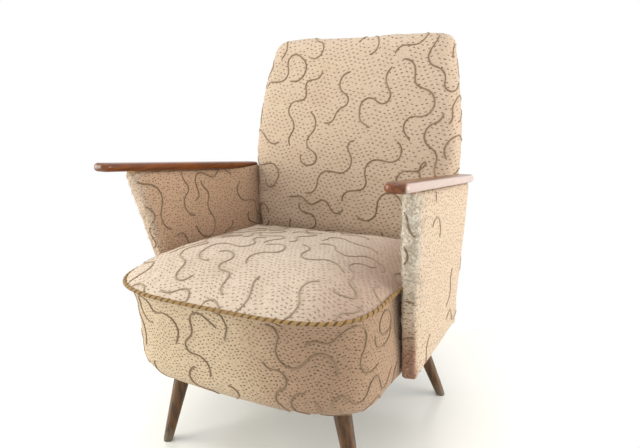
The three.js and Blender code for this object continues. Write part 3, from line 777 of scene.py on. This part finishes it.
def arm_lines():
    """Inner face and front edge of the right arm as functions of height."""
    z = node_points("arm_pad_right")[:, 2]
    levels = np.linspace(z.min() + 0.02, z.max() - 0.02, 9)
    cuts = cuts_of("arm_pad_right", levels)
    inner_x = [cut[:, 0].min() for cut in cuts]
    front_y = [cut[:, 1].min() for cut in cuts]

    def inner(z):
        return np.interp(z, levels, inner_x)

    def front(z):
        return np.interp(z, levels, front_y)

    return inner, front


def seat_panel(points, normals):
    """Where each point of the seat pad lies on the flat cloth."""
    return points[:, :2] * 1.05 + np.array([0.03, 0.02])


def border_panel(path):
    """The border as one strip of cloth along the piping's path, turned under at its lower edge."""
    line = np.vstack([[path[0, 0], 0.25, 0], path, [path[-1, 0], 0.25, 0]])[:, :2]
    line = line[::2] if len(line) > 400 else line
    runs = run_along(line)

    def panel(points, normals):
        best = np.full(len(points), 1e9)
        run = np.zeros(len(points))
        for i in range(len(line) - 1):
            a, d = line[i], line[i + 1] - line[i]
            size = float(d @ d)
            if size < 1e-12:
                continue
            t = np.clip(((points[:, :2] - a) @ d) / size, 0, 1)
            off = np.linalg.norm(points[:, :2] - (a + t[:, None] * d), axis=1)
            better = off < best
            best[better] = off[better]
            run[better] = runs[i] + t[better] * math.sqrt(size)
        under = np.maximum(0.0, best - 0.03) * (points[:, 2] < 0.26)
        return np.stack([run, points[:, 2] - under], 1)

    return panel


def back_panel_map():
    """Front, edges, sides and top of the back as one wrapped cloth, and its outside as another."""
    z = node_points("back_pad")[:, 2]
    heights = np.linspace(z.min() + 0.02, z.max() - 0.035, 14)
    cuts = cuts_of("back_pad", heights)
    half = [cut[:, 0].max() for cut in cuts]
    front = [cut[np.abs(cut[:, 0]) > edge * 0.85, 1].min() for cut, edge in zip(cuts, half)]
    radius = 0.03
    shoulder = heights[-1]

    def panel(points, normals):
        x, y, z = points.T
        width = np.interp(z, heights, half) - radius
        face = np.interp(z, heights, front) + radius
        beyond = np.maximum(0, np.abs(x) - width)
        angle = np.arctan2(beyond, np.maximum(1e-6, face - y))
        arc = np.where(y < face, radius * angle, radius * math.pi / 2 + (y - face))
        u = np.where(beyond > 0, np.sign(x) * (width + arc), x)
        over = np.maximum(0, z - shoulder)
        v = np.where(over > 0, shoulder + over + np.maximum(0, y - face) * (normals[:, 2] > 0.6), z)
        rear = normals[:, 1] > 0.7
        return np.stack([np.where(rear, 2.0 - x, u), v], 1)

    return panel


def arm_panel(sign, inner, front):
    """Inner face, front strip and outer face of an arm as one wrapped cloth."""
    def panel(points, normals):
        x, y, z = points.T
        through = np.abs(x) - inner(z)
        from_front = y - front(z)
        outward = normals[:, 0] * sign
        wrapped = np.where(outward < -0.5, from_front, -through)
        u = np.where(outward > 0.5, -ARM_THICKNESS - from_front, wrapped)
        low = normals[:, 2] < -0.7
        u = np.where(low, -through - 0.6, u)
        v = np.where(low, y, z)
        return np.stack([u * sign, v + 0.013 * sign], 1)

    return panel


def curl(rng, length):
    """A wandering line on the flat cloth: arcs that turn left and right by turns."""
    heading = rng.uniform(0, 2 * math.pi)
    point = np.array([0.0, 0.0])
    line = [point.copy()]
    turn = rng.choice((-1, 1))
    done = 0.0
    step = 0.002
    while done < length:
        radius = rng.uniform(0.015, 0.034)
        angle = rng.uniform(1.0, 2.9)
        for _ in range(int(radius * angle / step)):
            heading += turn * step / radius
            point = point + step * np.array([math.cos(heading), math.sin(heading)])
            line.append(point.copy())
            done += step
        for _ in range(rng.randrange(0, 14)):
            point = point + step * np.array([math.cos(heading), math.sin(heading)])
            line.append(point.copy())
            done += step
        turn = -turn if rng.random() < 0.85 else turn
    line = smoothed(np.array(line), 5)
    return line - line.mean(0)


def lay_yarn(name, cover, material, settings, seed, keep=None, reach=1.0, share=1.0):
    """Lays curling lines on a cover through its cloth coordinates, clear of each other."""
    mesh = cover.data
    mesh.calc_loop_triangles()
    layer = mesh.uv_layers[COVER_UV].data
    flat, solid, faces = [], [], []
    for triangle in mesh.loop_triangles:
        if keep is not None and not keep(triangle.normal, triangle.center):
            continue
        uvs = [layer[l].uv for l in triangle.loops]
        spread = max((uvs[0] - uvs[1]).length, (uvs[1] - uvs[2]).length)
        if spread > 0.03:
            continue
        first = len(flat)
        flat.extend(Vector((uv[0], uv[1], 0.0)) for uv in uvs)
        solid.extend(mesh.vertices[v].co.copy() for v in triangle.vertices)
        faces.append((first, first + 1, first + 2))
    lookup = BVHTree.FromPolygons(flat, faces)
    rng = random.Random(seed)
    low = np.array([min(p[k] for p in flat) for k in (0, 1)])
    high = np.array([max(p[k] for p in flat) for k in (0, 1)])
    pitch = settings.curl_pitch
    taken = []
    bm = bmesh.new()
    rows = int((high[1] - low[1]) / (pitch * 0.86)) + 2
    columns = int((high[0] - low[0]) / pitch) + 2
    for r in range(rows):
        for c in range(columns):
            centre = low + np.array([(c + 0.5 * (r % 2)) * pitch, r * pitch * 0.86])
            centre = centre + np.array([rng.uniform(-0.016, 0.016), rng.uniform(-0.016, 0.016)])
            if rng.random() > share:
                continue
            for _ in range(14):
                line = curl(rng, rng.uniform(0.15, 0.29) * reach) + centre
                steps = (line[::4, None] - other[None, ::4] for other in taken)
                gap = min((np.linalg.norm(step, axis=2).min() for step in steps), default=1.0)
                if gap > 0.015:
                    break
            else:
                continue
            taken.append(line)
            run, ups = [], []
            for point in line:
                hit = lookup.ray_cast(Vector((point[0], point[1], 1.0)), Vector((0, 0, -1)))
                if hit[0] is None or (run and (run[-1] - placed_on(hit, flat, solid, faces)[0]).length > 0.012):
                    if len(run) > 8:
                        yarn(bm, run, ups, settings, rng)
                    run, ups = [], []
                    continue
                where, up = placed_on(hit, flat, solid, faces)
                run.append(where + up * settings.yarn_diameter * 0.12)
                ups.append(up)
            if len(run) > 8:
                yarn(bm, run, ups, settings, rng)
    return add_object(name, finish_mesh(bm, name), material)


def placed_on(hit, flat, solid, faces):
    """The point on the cover, and the cover's normal, for a hit on the flat cloth."""
    a, b, c = faces[hit[2]]
    where = barycentric_transform(hit[0], flat[a], flat[b], flat[c], solid[a], solid[b], solid[c])
    up = (solid[b] - solid[a]).cross(solid[c] - solid[a]).normalized()
    return where, up


def yarn(bm, run, ups, settings, rng):
    """Adds one piece of yarn, a little flattened, along a run of points on a cover."""
    points = smoothed(np.array([p[:] for p in run]), 3)
    normals = np.array([u[:] for u in ups])
    for _ in range(3):
        normals[1:-1] = (normals[:-2] + normals[1:-1] + normals[2:]) / 3
    points, normals = points[::2], normals[::2]
    base = settings.yarn_diameter / 2
    radii = [base * rng.uniform(0.78, 1.1) for _ in points]
    radii[0] = radii[-1] = base * 0.35
    tube(bm, points, radii, 6, flatten=(normals, 0.62))


def lay_lint(name, cover, material, count, seed, chance):
    """Scatters short curved fibres over a cover where chance(point, normal) allows."""
    rng = random.Random(seed)
    mesh = cover.data
    bm = bmesh.new()
    polygons = [p for p in mesh.polygons if chance(p.center, p.normal) > 0]
    weights = [chance(p.center, p.normal) * p.area for p in polygons]
    for polygon in rng.choices(polygons, weights, k=count):
        start = polygon.center + polygon.normal * 0.0004
        along = polygon.normal.orthogonal()
        along.rotate(Matrix.Rotation(rng.uniform(0, 2 * math.pi), 3, polygon.normal))
        length = rng.uniform(0.003, 0.011)
        bend = rng.uniform(-2.2, 2.2)
        rise = rng.uniform(0.0, 0.45)
        path, heading, point = [], along.copy(), start.copy()
        for step in range(5):
            path.append(point + polygon.normal * rise * length * math.sin(math.pi * step / 4) * 0.5)
            heading.rotate(Matrix.Rotation(bend / 5, 3, polygon.normal))
            point = point + heading * length / 4
        tube(bm, path, [0.00022] * 5, 3)
    return add_object(name, finish_mesh(bm, name), material)


def stock():
    """The materials by name."""
    cloth = bpy.context.scene.armchair_cloth
    wood = bpy.context.scene.armchair_wood
    if not STOCK:
        # Where the painted highlight on the right armrest's outer side begins
        painted_highlight_from = float(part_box("armrest_right")[1][0]) - 0.0015
        STOCK.update(
            back=cover_cloth(cloth, "Boucle cloth, back", "#cfbaa2", "#b8a38c", "#4c382a"),
            seat=cover_cloth(
                cloth, "Boucle cloth, seat", "#d3c2ae", "#bfac98", "#6a5646", 0.75, 1.05, 0.85, 0.3
            ),
            border=cover_cloth(
                cloth, "Boucle cloth, border", "#d1be9f", "#b49d80", "#2b1e14", 1.0, 0.85, 0.74, 0.35
            ),
            # Painted shade: the left arm's cloth is a darker, more orange copy for its shaded inner face and
            # the warm light bounced onto it
            arm_left=cover_cloth(
                cloth, "Boucle cloth, left arm, painted shade", "#ceb094", "#b39274", "#3c2721", 1.0, 0.75, 0.78, 0.7
            ),
            arm_right=cover_cloth(
                cloth, "Boucle cloth, right arm", "#d6c4ac", "#bca58b", "#432f21", 1.0, 0.92, 0.86, 0.8
            ),
            yarn=chenille("Brown chenille yarn", "#6a563f", "#957e63"),
            pale_yarn=chenille("Rubbed chenille yarn", "#85735f", "#a8957e"),
            cord=twisted_cord("Piping cord, gold strands", "#7d6038", "#b8955c"),
            dark_cord=twisted_cord("Piping cord, brown strand", "#3f2e1b", "#6e5331"),
            rest=varnished_wood(
                "Varnished beech armrest", "#81430f", "#4a2407", (1.0, 0.08, 1.0), 0.34, 0.35,
                painted_highlight_from=painted_highlight_from
            ),
            leg=varnished_wood(
                "Varnished beech leg", "#634015", "#301c08", (1.0, 1.0, 0.08), 0.42, 0.12, wood.foot_wear
            ),
            beech=plain_wood(),
            jute=woven("Jute webbing and hessian", "#8a7350", "#b59c6d", 320.0),
            lining=woven("Black lining cloth", "#1d1c1b", "#34322f", 900.0),
            spring=steel("Drawn spring wire", "#8d8f91", 0.45),
            bolt=steel("Plain bolt steel", "#a0a1a3", 0.35),
            lint=lint_fibre(),
        )
    return STOCK


class ARMCHAIR_OT_frame(bpy.types.Operator):
    """Give the inner frame, springs, webbing and fixings their materials"""

    bl_idname = "armchair.frame"
    bl_label = "Inner frame"

    def execute(self, context):
        kinds = {
            "beech_frame": "beech", "jute": "jute", "lining_cloth": "lining",
            "spring_steel": "spring", "bolt_steel": "bolt", "cover_cloth": "border",
            "piping_cord": "cord", "varnished_wood": "rest", "leg_wood": "leg",
        }
        slots = {s["node"]: s["material_slot"] for s in frame["record"]["subparts"]}
        for name, obj in frame["nodes"].items():
            obj.data.materials.clear()
            obj.data.materials.append(stock()[kinds[slots[name]]])
        return {"FINISHED"}


def drawn_to(path):
    """A shaping step that draws the cloth out to a sewn cord."""
    cord = path[:, None].astype(float)

    def shape(points):
        z, cord_z = points[:, 2], cord[:, 0, 2]
        rows = np.flatnonzero((z > cord_z.min() - 0.01) & (z < cord_z.max() + 0.03))
        for part in np.array_split(rows, 40):
            away = cord - points[None, part]
            distance = np.linalg.norm(away, axis=2)
            nearest = distance.argmin(0)
            index = np.arange(len(part))
            gap, way = distance[nearest, index], away[nearest, index]
            pull = np.clip(gap - 0.003, 0, 0.009) * (1 - ramp(gap, 0.008, 0.03))
            points[part] += way / np.maximum(gap, 1e-6)[:, None] * pull[:, None]
        return points

    return shape


class ARMCHAIR_OT_seat(bpy.types.Operator):
    """Build the sunken seat pad and the border below it"""

    bl_idname = "armchair.seat"
    bl_label = "Seat"

    def execute(self, context):
        scene = context.scene
        cushion, cloth = scene.armchair_cushion, scene.armchair_cloth
        path = cord_path()
        voxel = cushion.voxel * COARSER["seat"]
        # Painted shade: the seat and the border darken towards the right, where the right arm shades them and
        # less light falls
        pad = padded_cover(
            "seat_cover", ("seat_pad",), voxel, cushion.seat_cap, stock()["seat"], cushion, seat_panel,
            0.0016, dirt_and_painted_shade=lambda p: 0.5 * ramp(p[:, 0], 0.12, 0.25),
            thicken=("seat_pad", (0, 0, -0.007)), shape=drawn_to(resampled(path, 0.006))
        )
        border = padded_cover(
            "border_cover", ("seat_border",), voxel, cushion.seat_cap * BORDER_SHARE, stock()["border"],
            cushion, border_panel(path), 0.001, dirt_and_painted_shade=lambda p: 0.65 * ramp(p[:, 0], -0.02, 0.16)
        )
        lay_yarn("seat_curls", pad, stock()["pale_yarn"], cloth, 11, lambda n, c: n.z > 0.3)
        lay_yarn(
            "border_curls", border, stock()["yarn"], cloth, 23,
            lambda n, c: c.z > 0.2 and outward_of_seat(n, c)
        )
        return {"FINISHED"}


def outward_of_seat(normal, centre):
    """Whether a face of the border looks away from the seat's middle."""
    x, y = centre.x, centre.y - 0.1
    return normal.x * x + normal.y * y > 0.02 * (abs(x) + abs(y))


def back_stuffing(points):
    """The stuffing has worked outwards to the back's sides and top, more so on its right."""
    x, y, z = points.T
    level = ramp(z, 0.36, 0.46) * (1 - 0.6 * ramp(z, 0.74, 0.86))
    right = 0.0055 * np.exp(-((z - 0.66) / 0.13) ** 2) * (x > 0)
    points[:, 0] += np.sign(x) * ramp(np.abs(x), 0.1, 0.2) * (0.008 * level + right)
    points[:, 2] += 0.006 * ramp(z, 0.78, 0.87) * (1 - 0.7 * ramp(np.abs(x), 0.13, 0.22))
    return points


def arm_reach(points):
    """The left arm's sleeve bulges back and in until it touches the back."""
    x, y, z = points.T
    rear = ramp(y, 0.07, 0.19)
    points[:, 1] += rear * (0.052 + 0.012 * ramp(z, 0.42, 0.56))
    points[:, 0] += 0.02 * rear
    return points


class ARMCHAIR_OT_back(bpy.types.Operator):
    """Build the padded back"""

    bl_idname = "armchair.back"
    bl_label = "Back"

    def execute(self, context):
        scene = context.scene
        cushion, cloth = scene.armchair_cushion, scene.armchair_cloth
        cover = padded_cover(
            "back_cover", ("back_pad", "back_panel"), cushion.voxel * COARSER["back"], cushion.back_cap,
            stock()["back"], cushion, back_panel_map(), 0.0014,
            thicken=("back_panel", (0, -0.01, 0)), hollow=True, shape=back_stuffing
        )
        lay_yarn(
            "back_curls", cover, stock()["yarn"], cloth, 5,
            lambda n, c: n.y < 0.7 and c.z > 0.36 and n.z > -0.5
        )
        return {"FINISHED"}


class ARMCHAIR_OT_arms(bpy.types.Operator):
    """Build the padded arms, worn and linty along their front edges"""

    bl_idname = "armchair.arms"
    bl_label = "Arms"

    def execute(self, context):
        scene = context.scene
        cushion, cloth = scene.armchair_cushion, scene.armchair_cloth
        inner, front = arm_lines()
        for side, sign in (("left", -1), ("right", 1)):
            strength = 1.0 if sign > 0 else 0.45

            def worn(points, strength=strength):
                x, y, z = points.T
                near = np.exp(-(np.maximum(0, y - front(z) - 0.004) / 0.014) ** 2)
                high = np.clip((z - 0.33) / 0.16, 0, 1)
                return strength * near * high

            # Painted shade: the right arm darkens low along its front, the left arm towards its bottom
            def painted_shade(points):
                x, y, z = points.T
                near = np.exp(-(np.maximum(0, y - front(z) - 0.006) / 0.01) ** 2)
                return near * ramp(-z, -0.36, -0.25) if sign > 0 else 0.15 * ramp(-z, -0.55, -0.4)

            cover = padded_cover(
                f"arm_cover_{side}", (f"arm_pad_{side}",), cushion.voxel * COARSER["arm"], cushion.arm_cap,
                stock()[f"arm_{side}"], cushion, arm_panel(sign, inner, front), 0.0008, worn, painted_shade,
                filling=(f"arm_frame_{side}",), shape=arm_reach if sign < 0 else None
            )

            def inside(normal, centre):
                looks_in = normal.x * sign < 0.5 and abs(normal.x) + max(0, -normal.y) > 0.5
                return looks_in and normal.z > -0.6 and normal.y < 0.6

            def outside(normal, centre):
                return normal.x * sign > 0.7

            lay_yarn(f"arm_curls_{side}", cover, stock()["yarn"], cloth, 31 + sign, inside, 0.9)
            lay_yarn(
                f"arm_outer_curls_{side}", cover, stock()["pale_yarn"], cloth, 41 + sign, outside, 0.45, 0.4
            )

            def chance(point, normal, strength=strength):
                edge = math.exp(-(max(0.0, point.y - float(front(point.z)) - 0.004) / 0.02) ** 2)
                height = min(1.0, max(0.05, (point.z - 0.3) / 0.2))
                return strength * edge * height if normal.z > -0.5 else 0.0

            fibres = 700 if sign > 0 else 260
            lay_lint(f"arm_lint_{side}", cover, stock()["lint"], fibres, 7 + sign, chance)
        return {"FINISHED"}


class ARMCHAIR_OT_lining(bpy.types.Operator):
    """Stretch the lining cloth below the seat, sagging a little between its tacks"""

    bl_idname = "armchair.lining"
    bl_label = "Lining"

    def execute(self, context):
        bm = bmesh.new()
        bm.from_mesh(frame["nodes"]["dust_cover"].data)
        bmesh.ops.remove_doubles(bm, verts=bm.verts, dist=1e-5)
        bmesh.ops.recalc_face_normals(bm, faces=bm.faces)
        upper = [f for f in bm.faces if f.normal.z > -0.9]
        bmesh.ops.delete(bm, geom=upper, context="FACES")
        bmesh.ops.triangulate(bm, faces=bm.faces)
        for _ in range(3):
            bmesh.ops.subdivide_edges(bm, edges=bm.edges, cuts=1, use_grid_fill=True)
        area = sum(f.calc_area() for f in bm.faces)
        rim = [v.co.copy() for v in bm.verts if v.is_boundary]
        tree = KDTree(len(rim))
        for i, point in enumerate(rim):
            tree.insert(point, i)
        tree.balance()
        for vertex in bm.verts:
            inward = min(1.0, tree.find(vertex.co)[2] / 0.12)
            vertex.co.z -= 0.005 * inward * inward * (3 - 2 * inward)
        for face in bm.faces:
            face.smooth = True
        mesh = bpy.data.meshes.new("dust_lining")
        bm.to_mesh(mesh)
        bm.free()
        lining = add_object("dust_lining", mesh, stock()["lining"], ("dust_cover",))
        return {"FINISHED"}


class ARMCHAIR_OT_piping(bpy.types.Operator):
    """Twist the piping cord along the seat's edge"""

    bl_idname = "armchair.piping"
    bl_label = "Piping"

    def execute(self, context):
        settings = context.scene.armchair_cord
        path = resampled(cord_path(), 0.0016)
        run = run_along(path)
        ahead = np.gradient(path, axis=0)
        ahead /= np.linalg.norm(ahead, axis=1, keepdims=True)
        side = np.cross(ahead, [0, 0, 1])
        side /= np.linalg.norm(side, axis=1, keepdims=True)
        up = np.cross(side, ahead)
        helix = settings.strand_radius * 0.98
        bm = bmesh.new()
        for k in range(settings.strands):
            angle = 2 * math.pi * (run / settings.twist_pitch + k / settings.strands)
            strand = path + helix * (side * np.cos(angle)[:, None] + up * np.sin(angle)[:, None])
            first = len(bm.faces)
            tube(bm, strand, [settings.strand_radius] * len(strand), 8)
            for face in list(bm.faces)[first:]:
                face.material_index = int(k == 0)
        mesh = finish_mesh(bm, "piping_cord")
        cord = add_object("piping_cord", mesh, stock()["cord"], ("seat_piping",))
        cord.data.materials.append(stock()["dark_cord"])
        return {"FINISHED"}


def span(edge):
    """From an edge's second end to its first."""
    return edge.verts[0].co - edge.verts[1].co


class ARMCHAIR_OT_wood(bpy.types.Operator):
    """Shape the armrests and turn the legs"""

    bl_idname = "armchair.wood"
    bl_label = "Armrests and legs"

    def execute(self, context):
        settings = context.scene.armchair_wood
        rounding = {"profile": 0.5, "material": -1, "affect": "EDGES"}
        for side, sign in (("left", -1), ("right", 1)):
            node = f"armrest_{side}"
            low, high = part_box(node)
            bm = bmesh.new()
            bmesh.ops.create_cube(bm, size=1.0)
            longer = settings.left_reach if sign < 0 else 0.0
            size = Vector((settings.rest_width, settings.rest_length + longer, settings.rest_thickness))
            bmesh.ops.scale(bm, vec=size, verts=bm.verts)
            upright = [e for e in bm.edges if abs(span(e).z) > 0.01 and e.verts[0].co.y < 0]
            bmesh.ops.bevel(bm, geom=upright, offset=0.015, segments=8, **rounding)
            sharp = [e for e in bm.edges if e.calc_face_angle(0) > 0.6]
            bmesh.ops.bevel(bm, geom=sharp, offset=settings.rest_edge, segments=6, **rounding)
            long_edges = [e for e in bm.edges if abs(span(e).y) > 0.2]
            bmesh.ops.subdivide_edges(bm, edges=long_edges, cuts=40, use_grid_fill=True)
            turn = Matrix.Rotation(-settings.rest_slope, 4, "X")
            centre = (Vector(low) + Vector(high)) / 2
            centre += turn @ Vector((0, longer / 2, 0))
            if longer:
                turn = Matrix.Rotation(-settings.toe_in, 4, "Z") @ turn
                centre.x += settings.toe_in * settings.rest_length / 2
            bmesh.ops.transform(bm, matrix=Matrix.Translation(centre) @ turn, verts=bm.verts)
            mesh = finish_mesh(bm, node)
            add_object(f"armrest_wood_{side}", mesh, stock()["rest"], (node,))
        for place in ("front_left", "front_right", "rear_left", "rear_right"):
            node = f"leg_{place}"
            points = node_points(node)
            foot = points[points[:, 2] < 0.0005]
            rim = points[np.abs(points[:, 2] - LEG_TOP) < 0.0006]
            foot_centre = foot[:, :2].mean(0)
            rim_centre = (rim[:, :2].max(0) + rim[:, :2].min(0)) / 2
            foot_radius = (foot[:, 0].max() - foot[:, 0].min()) / 2
            rim_radius = (rim[:, 0].max() - rim[:, 0].min()) / 2
            bm = bmesh.new()
            phase = random.Random(place).uniform(0, 6.28)
            rings = []
            for z in np.linspace(0, LEG_TOP, 30):
                t = z / LEG_TOP
                centre = foot_centre + (rim_centre - foot_centre) * t
                radius = foot_radius + (rim_radius - foot_radius) * t
                radius -= 0.0012 * math.exp(-z / 0.003)
                ring = []
                for k in range(LEG_SIDES):
                    angle = 2 * math.pi * k / LEG_SIDES
                    rough = 1 - 0.012 * math.exp(-z / 0.02) * math.sin(3 * angle + phase)
                    x = centre[0] + radius * rough * math.cos(angle)
                    y = centre[1] + radius * rough * math.sin(angle)
                    ring.append(bm.verts.new((x, y, z)))
                rings.append(ring)
            skin_over(bm, rings)
            add_object(f"turned_leg_{place}", finish_mesh(bm, node), stock()["leg"], (node,))
        return {"FINISHED"}


class ARMCHAIR_OT_stage(bpy.types.Operator):
    """Set up the floor, soft studio light and camera"""

    bl_idname = "armchair.stage"
    bl_label = "Stage"

    def execute(self, context):
        settings = context.scene.armchair_studio
        material, tree, shader = new_material(
            "Pale studio table", Roughness=0.5, Coat_Weight=1.0, Coat_Roughness=0.15
        )
        dust = grain(tree, object_point(tree), 3.0, 2.0)
        wire(tree, shader, mix(tree, dust, colour("#eeede6"), colour("#f2f2ec")))
        bm = bmesh.new()
        bm.faces.new([bm.verts.new((x, y, 0.0)) for x, y in TABLE_CORNERS])
        mesh = finish_mesh(bm, "Floor", smooth=False)
        mesh.materials.append(material)
        floor = linked("Floor", mesh)

        for name, place, aim, size, power, tint in LAMPS:
            light = bpy.data.lights.new(name, "AREA")
            light.size = size
            light.energy = power
            light.color = colour(tint)[:3]
            lamp = linked(name, light)
            lamp.location = place
            lamp.rotation_euler = (Vector(aim) - Vector(place)).to_track_quat("-Z", "Y").to_euler()

        world = bpy.data.worlds.new("Studio")
        context.scene.world = world
        world.use_nodes = True
        tree = world.node_tree
        tree.nodes.clear()
        rays = add_node(tree, "ShaderNodeLightPath")
        mirrored = calc(tree, "MAXIMUM", rays.outputs["Is Glossy Ray"], rays.outputs["Is Transmission Ray"])
        seen = calc(tree, "MAXIMUM", rays.outputs["Is Camera Ray"], mirrored)
        dim = add_node(tree, "ShaderNodeBackground", {0: colour("#f6f7fa"), 1: 1.0}).outputs[0]
        white = add_node(tree, "ShaderNodeBackground", {0: (1, 1, 1, 1), 1: 1.0}).outputs[0]
        mixed = add_node(tree, "ShaderNodeMixShader", {0: seen, 1: dim, 2: white}).outputs[0]
        add_node(tree, "ShaderNodeOutputWorld", {0: mixed})

        data = bpy.data.cameras.new("Camera")
        data.sensor_width = 36
        data.lens = settings.lens
        data.shift_y = settings.shift_y
        camera = linked("Camera", data)
        camera.location = CAMERA_PLACE
        yaw, pitch, roll = settings.yaw, settings.pitch, settings.roll
        level = math.cos(pitch)
        forward = Vector((-math.sin(yaw) * level, math.cos(yaw) * level, -math.sin(pitch)))
        right = Vector((math.cos(yaw), math.sin(yaw), 0))
        up = right.cross(forward)
        turned_right = right * math.cos(roll) + up * math.sin(roll)
        turned_up = up * math.cos(roll) - right * math.sin(roll)
        camera.rotation_euler = Matrix((turned_right, turned_up, -forward)).transposed().to_euler()
        context.scene.camera = camera
        context.scene.view_settings.view_transform = "Standard"
        return {"FINISHED"}


class ARMCHAIR_PT_panel(bpy.types.Panel):
    """The armchair's settings and build steps"""

    bl_label = "Armchair"
    bl_space_type = "VIEW_3D"
    bl_region_type = "UI"
    bl_category = "Armchair"

    def draw(self, context):
        for step in STEPS:
            self.layout.operator(step.bl_idname)
        for group in ("cloth", "cushion", "wood", "cord", "studio"):
            settings = getattr(context.scene, f"armchair_{group}")
            box = self.layout.box()
            for name in settings.bl_rna.properties.keys():
                if name not in {"rna_type", "name"}:
                    box.prop(settings, name)


STEPS = (
    ARMCHAIR_OT_frame, ARMCHAIR_OT_seat, ARMCHAIR_OT_back, ARMCHAIR_OT_arms,
    ARMCHAIR_OT_piping, ARMCHAIR_OT_lining, ARMCHAIR_OT_wood, ARMCHAIR_OT_stage,
)
GROUPS = {
    "armchair_cloth": ClothSettings,
    "armchair_cushion": CushionSettings,
    "armchair_wood": WoodSettings,
    "armchair_cord": CordSettings,
    "armchair_studio": StudioSettings,
}


def register():
    for group in GROUPS.values():
        bpy.utils.register_class(group)
    for step in STEPS:
        bpy.utils.register_class(step)
    bpy.utils.register_class(ARMCHAIR_PT_panel)
    for name, group in GROUPS.items():
        setattr(bpy.types.Scene, name, PointerProperty(type=group))


def unregister():
    for name in GROUPS:
        delattr(bpy.types.Scene, name)
    bpy.utils.unregister_class(ARMCHAIR_PT_panel)
    for step in reversed(STEPS):
        bpy.utils.unregister_class(step)
    for group in GROUPS.values():
        bpy.utils.unregister_class(group)


def main():
    register()
    bpy.ops.armchair.frame()
    bpy.ops.armchair.seat()
    bpy.ops.armchair.back()
    bpy.ops.armchair.arms()
    bpy.ops.armchair.piping()
    bpy.ops.armchair.lining()
    bpy.ops.armchair.wood()
    bpy.ops.armchair.stage()


if __name__ == "__main__":
    main()
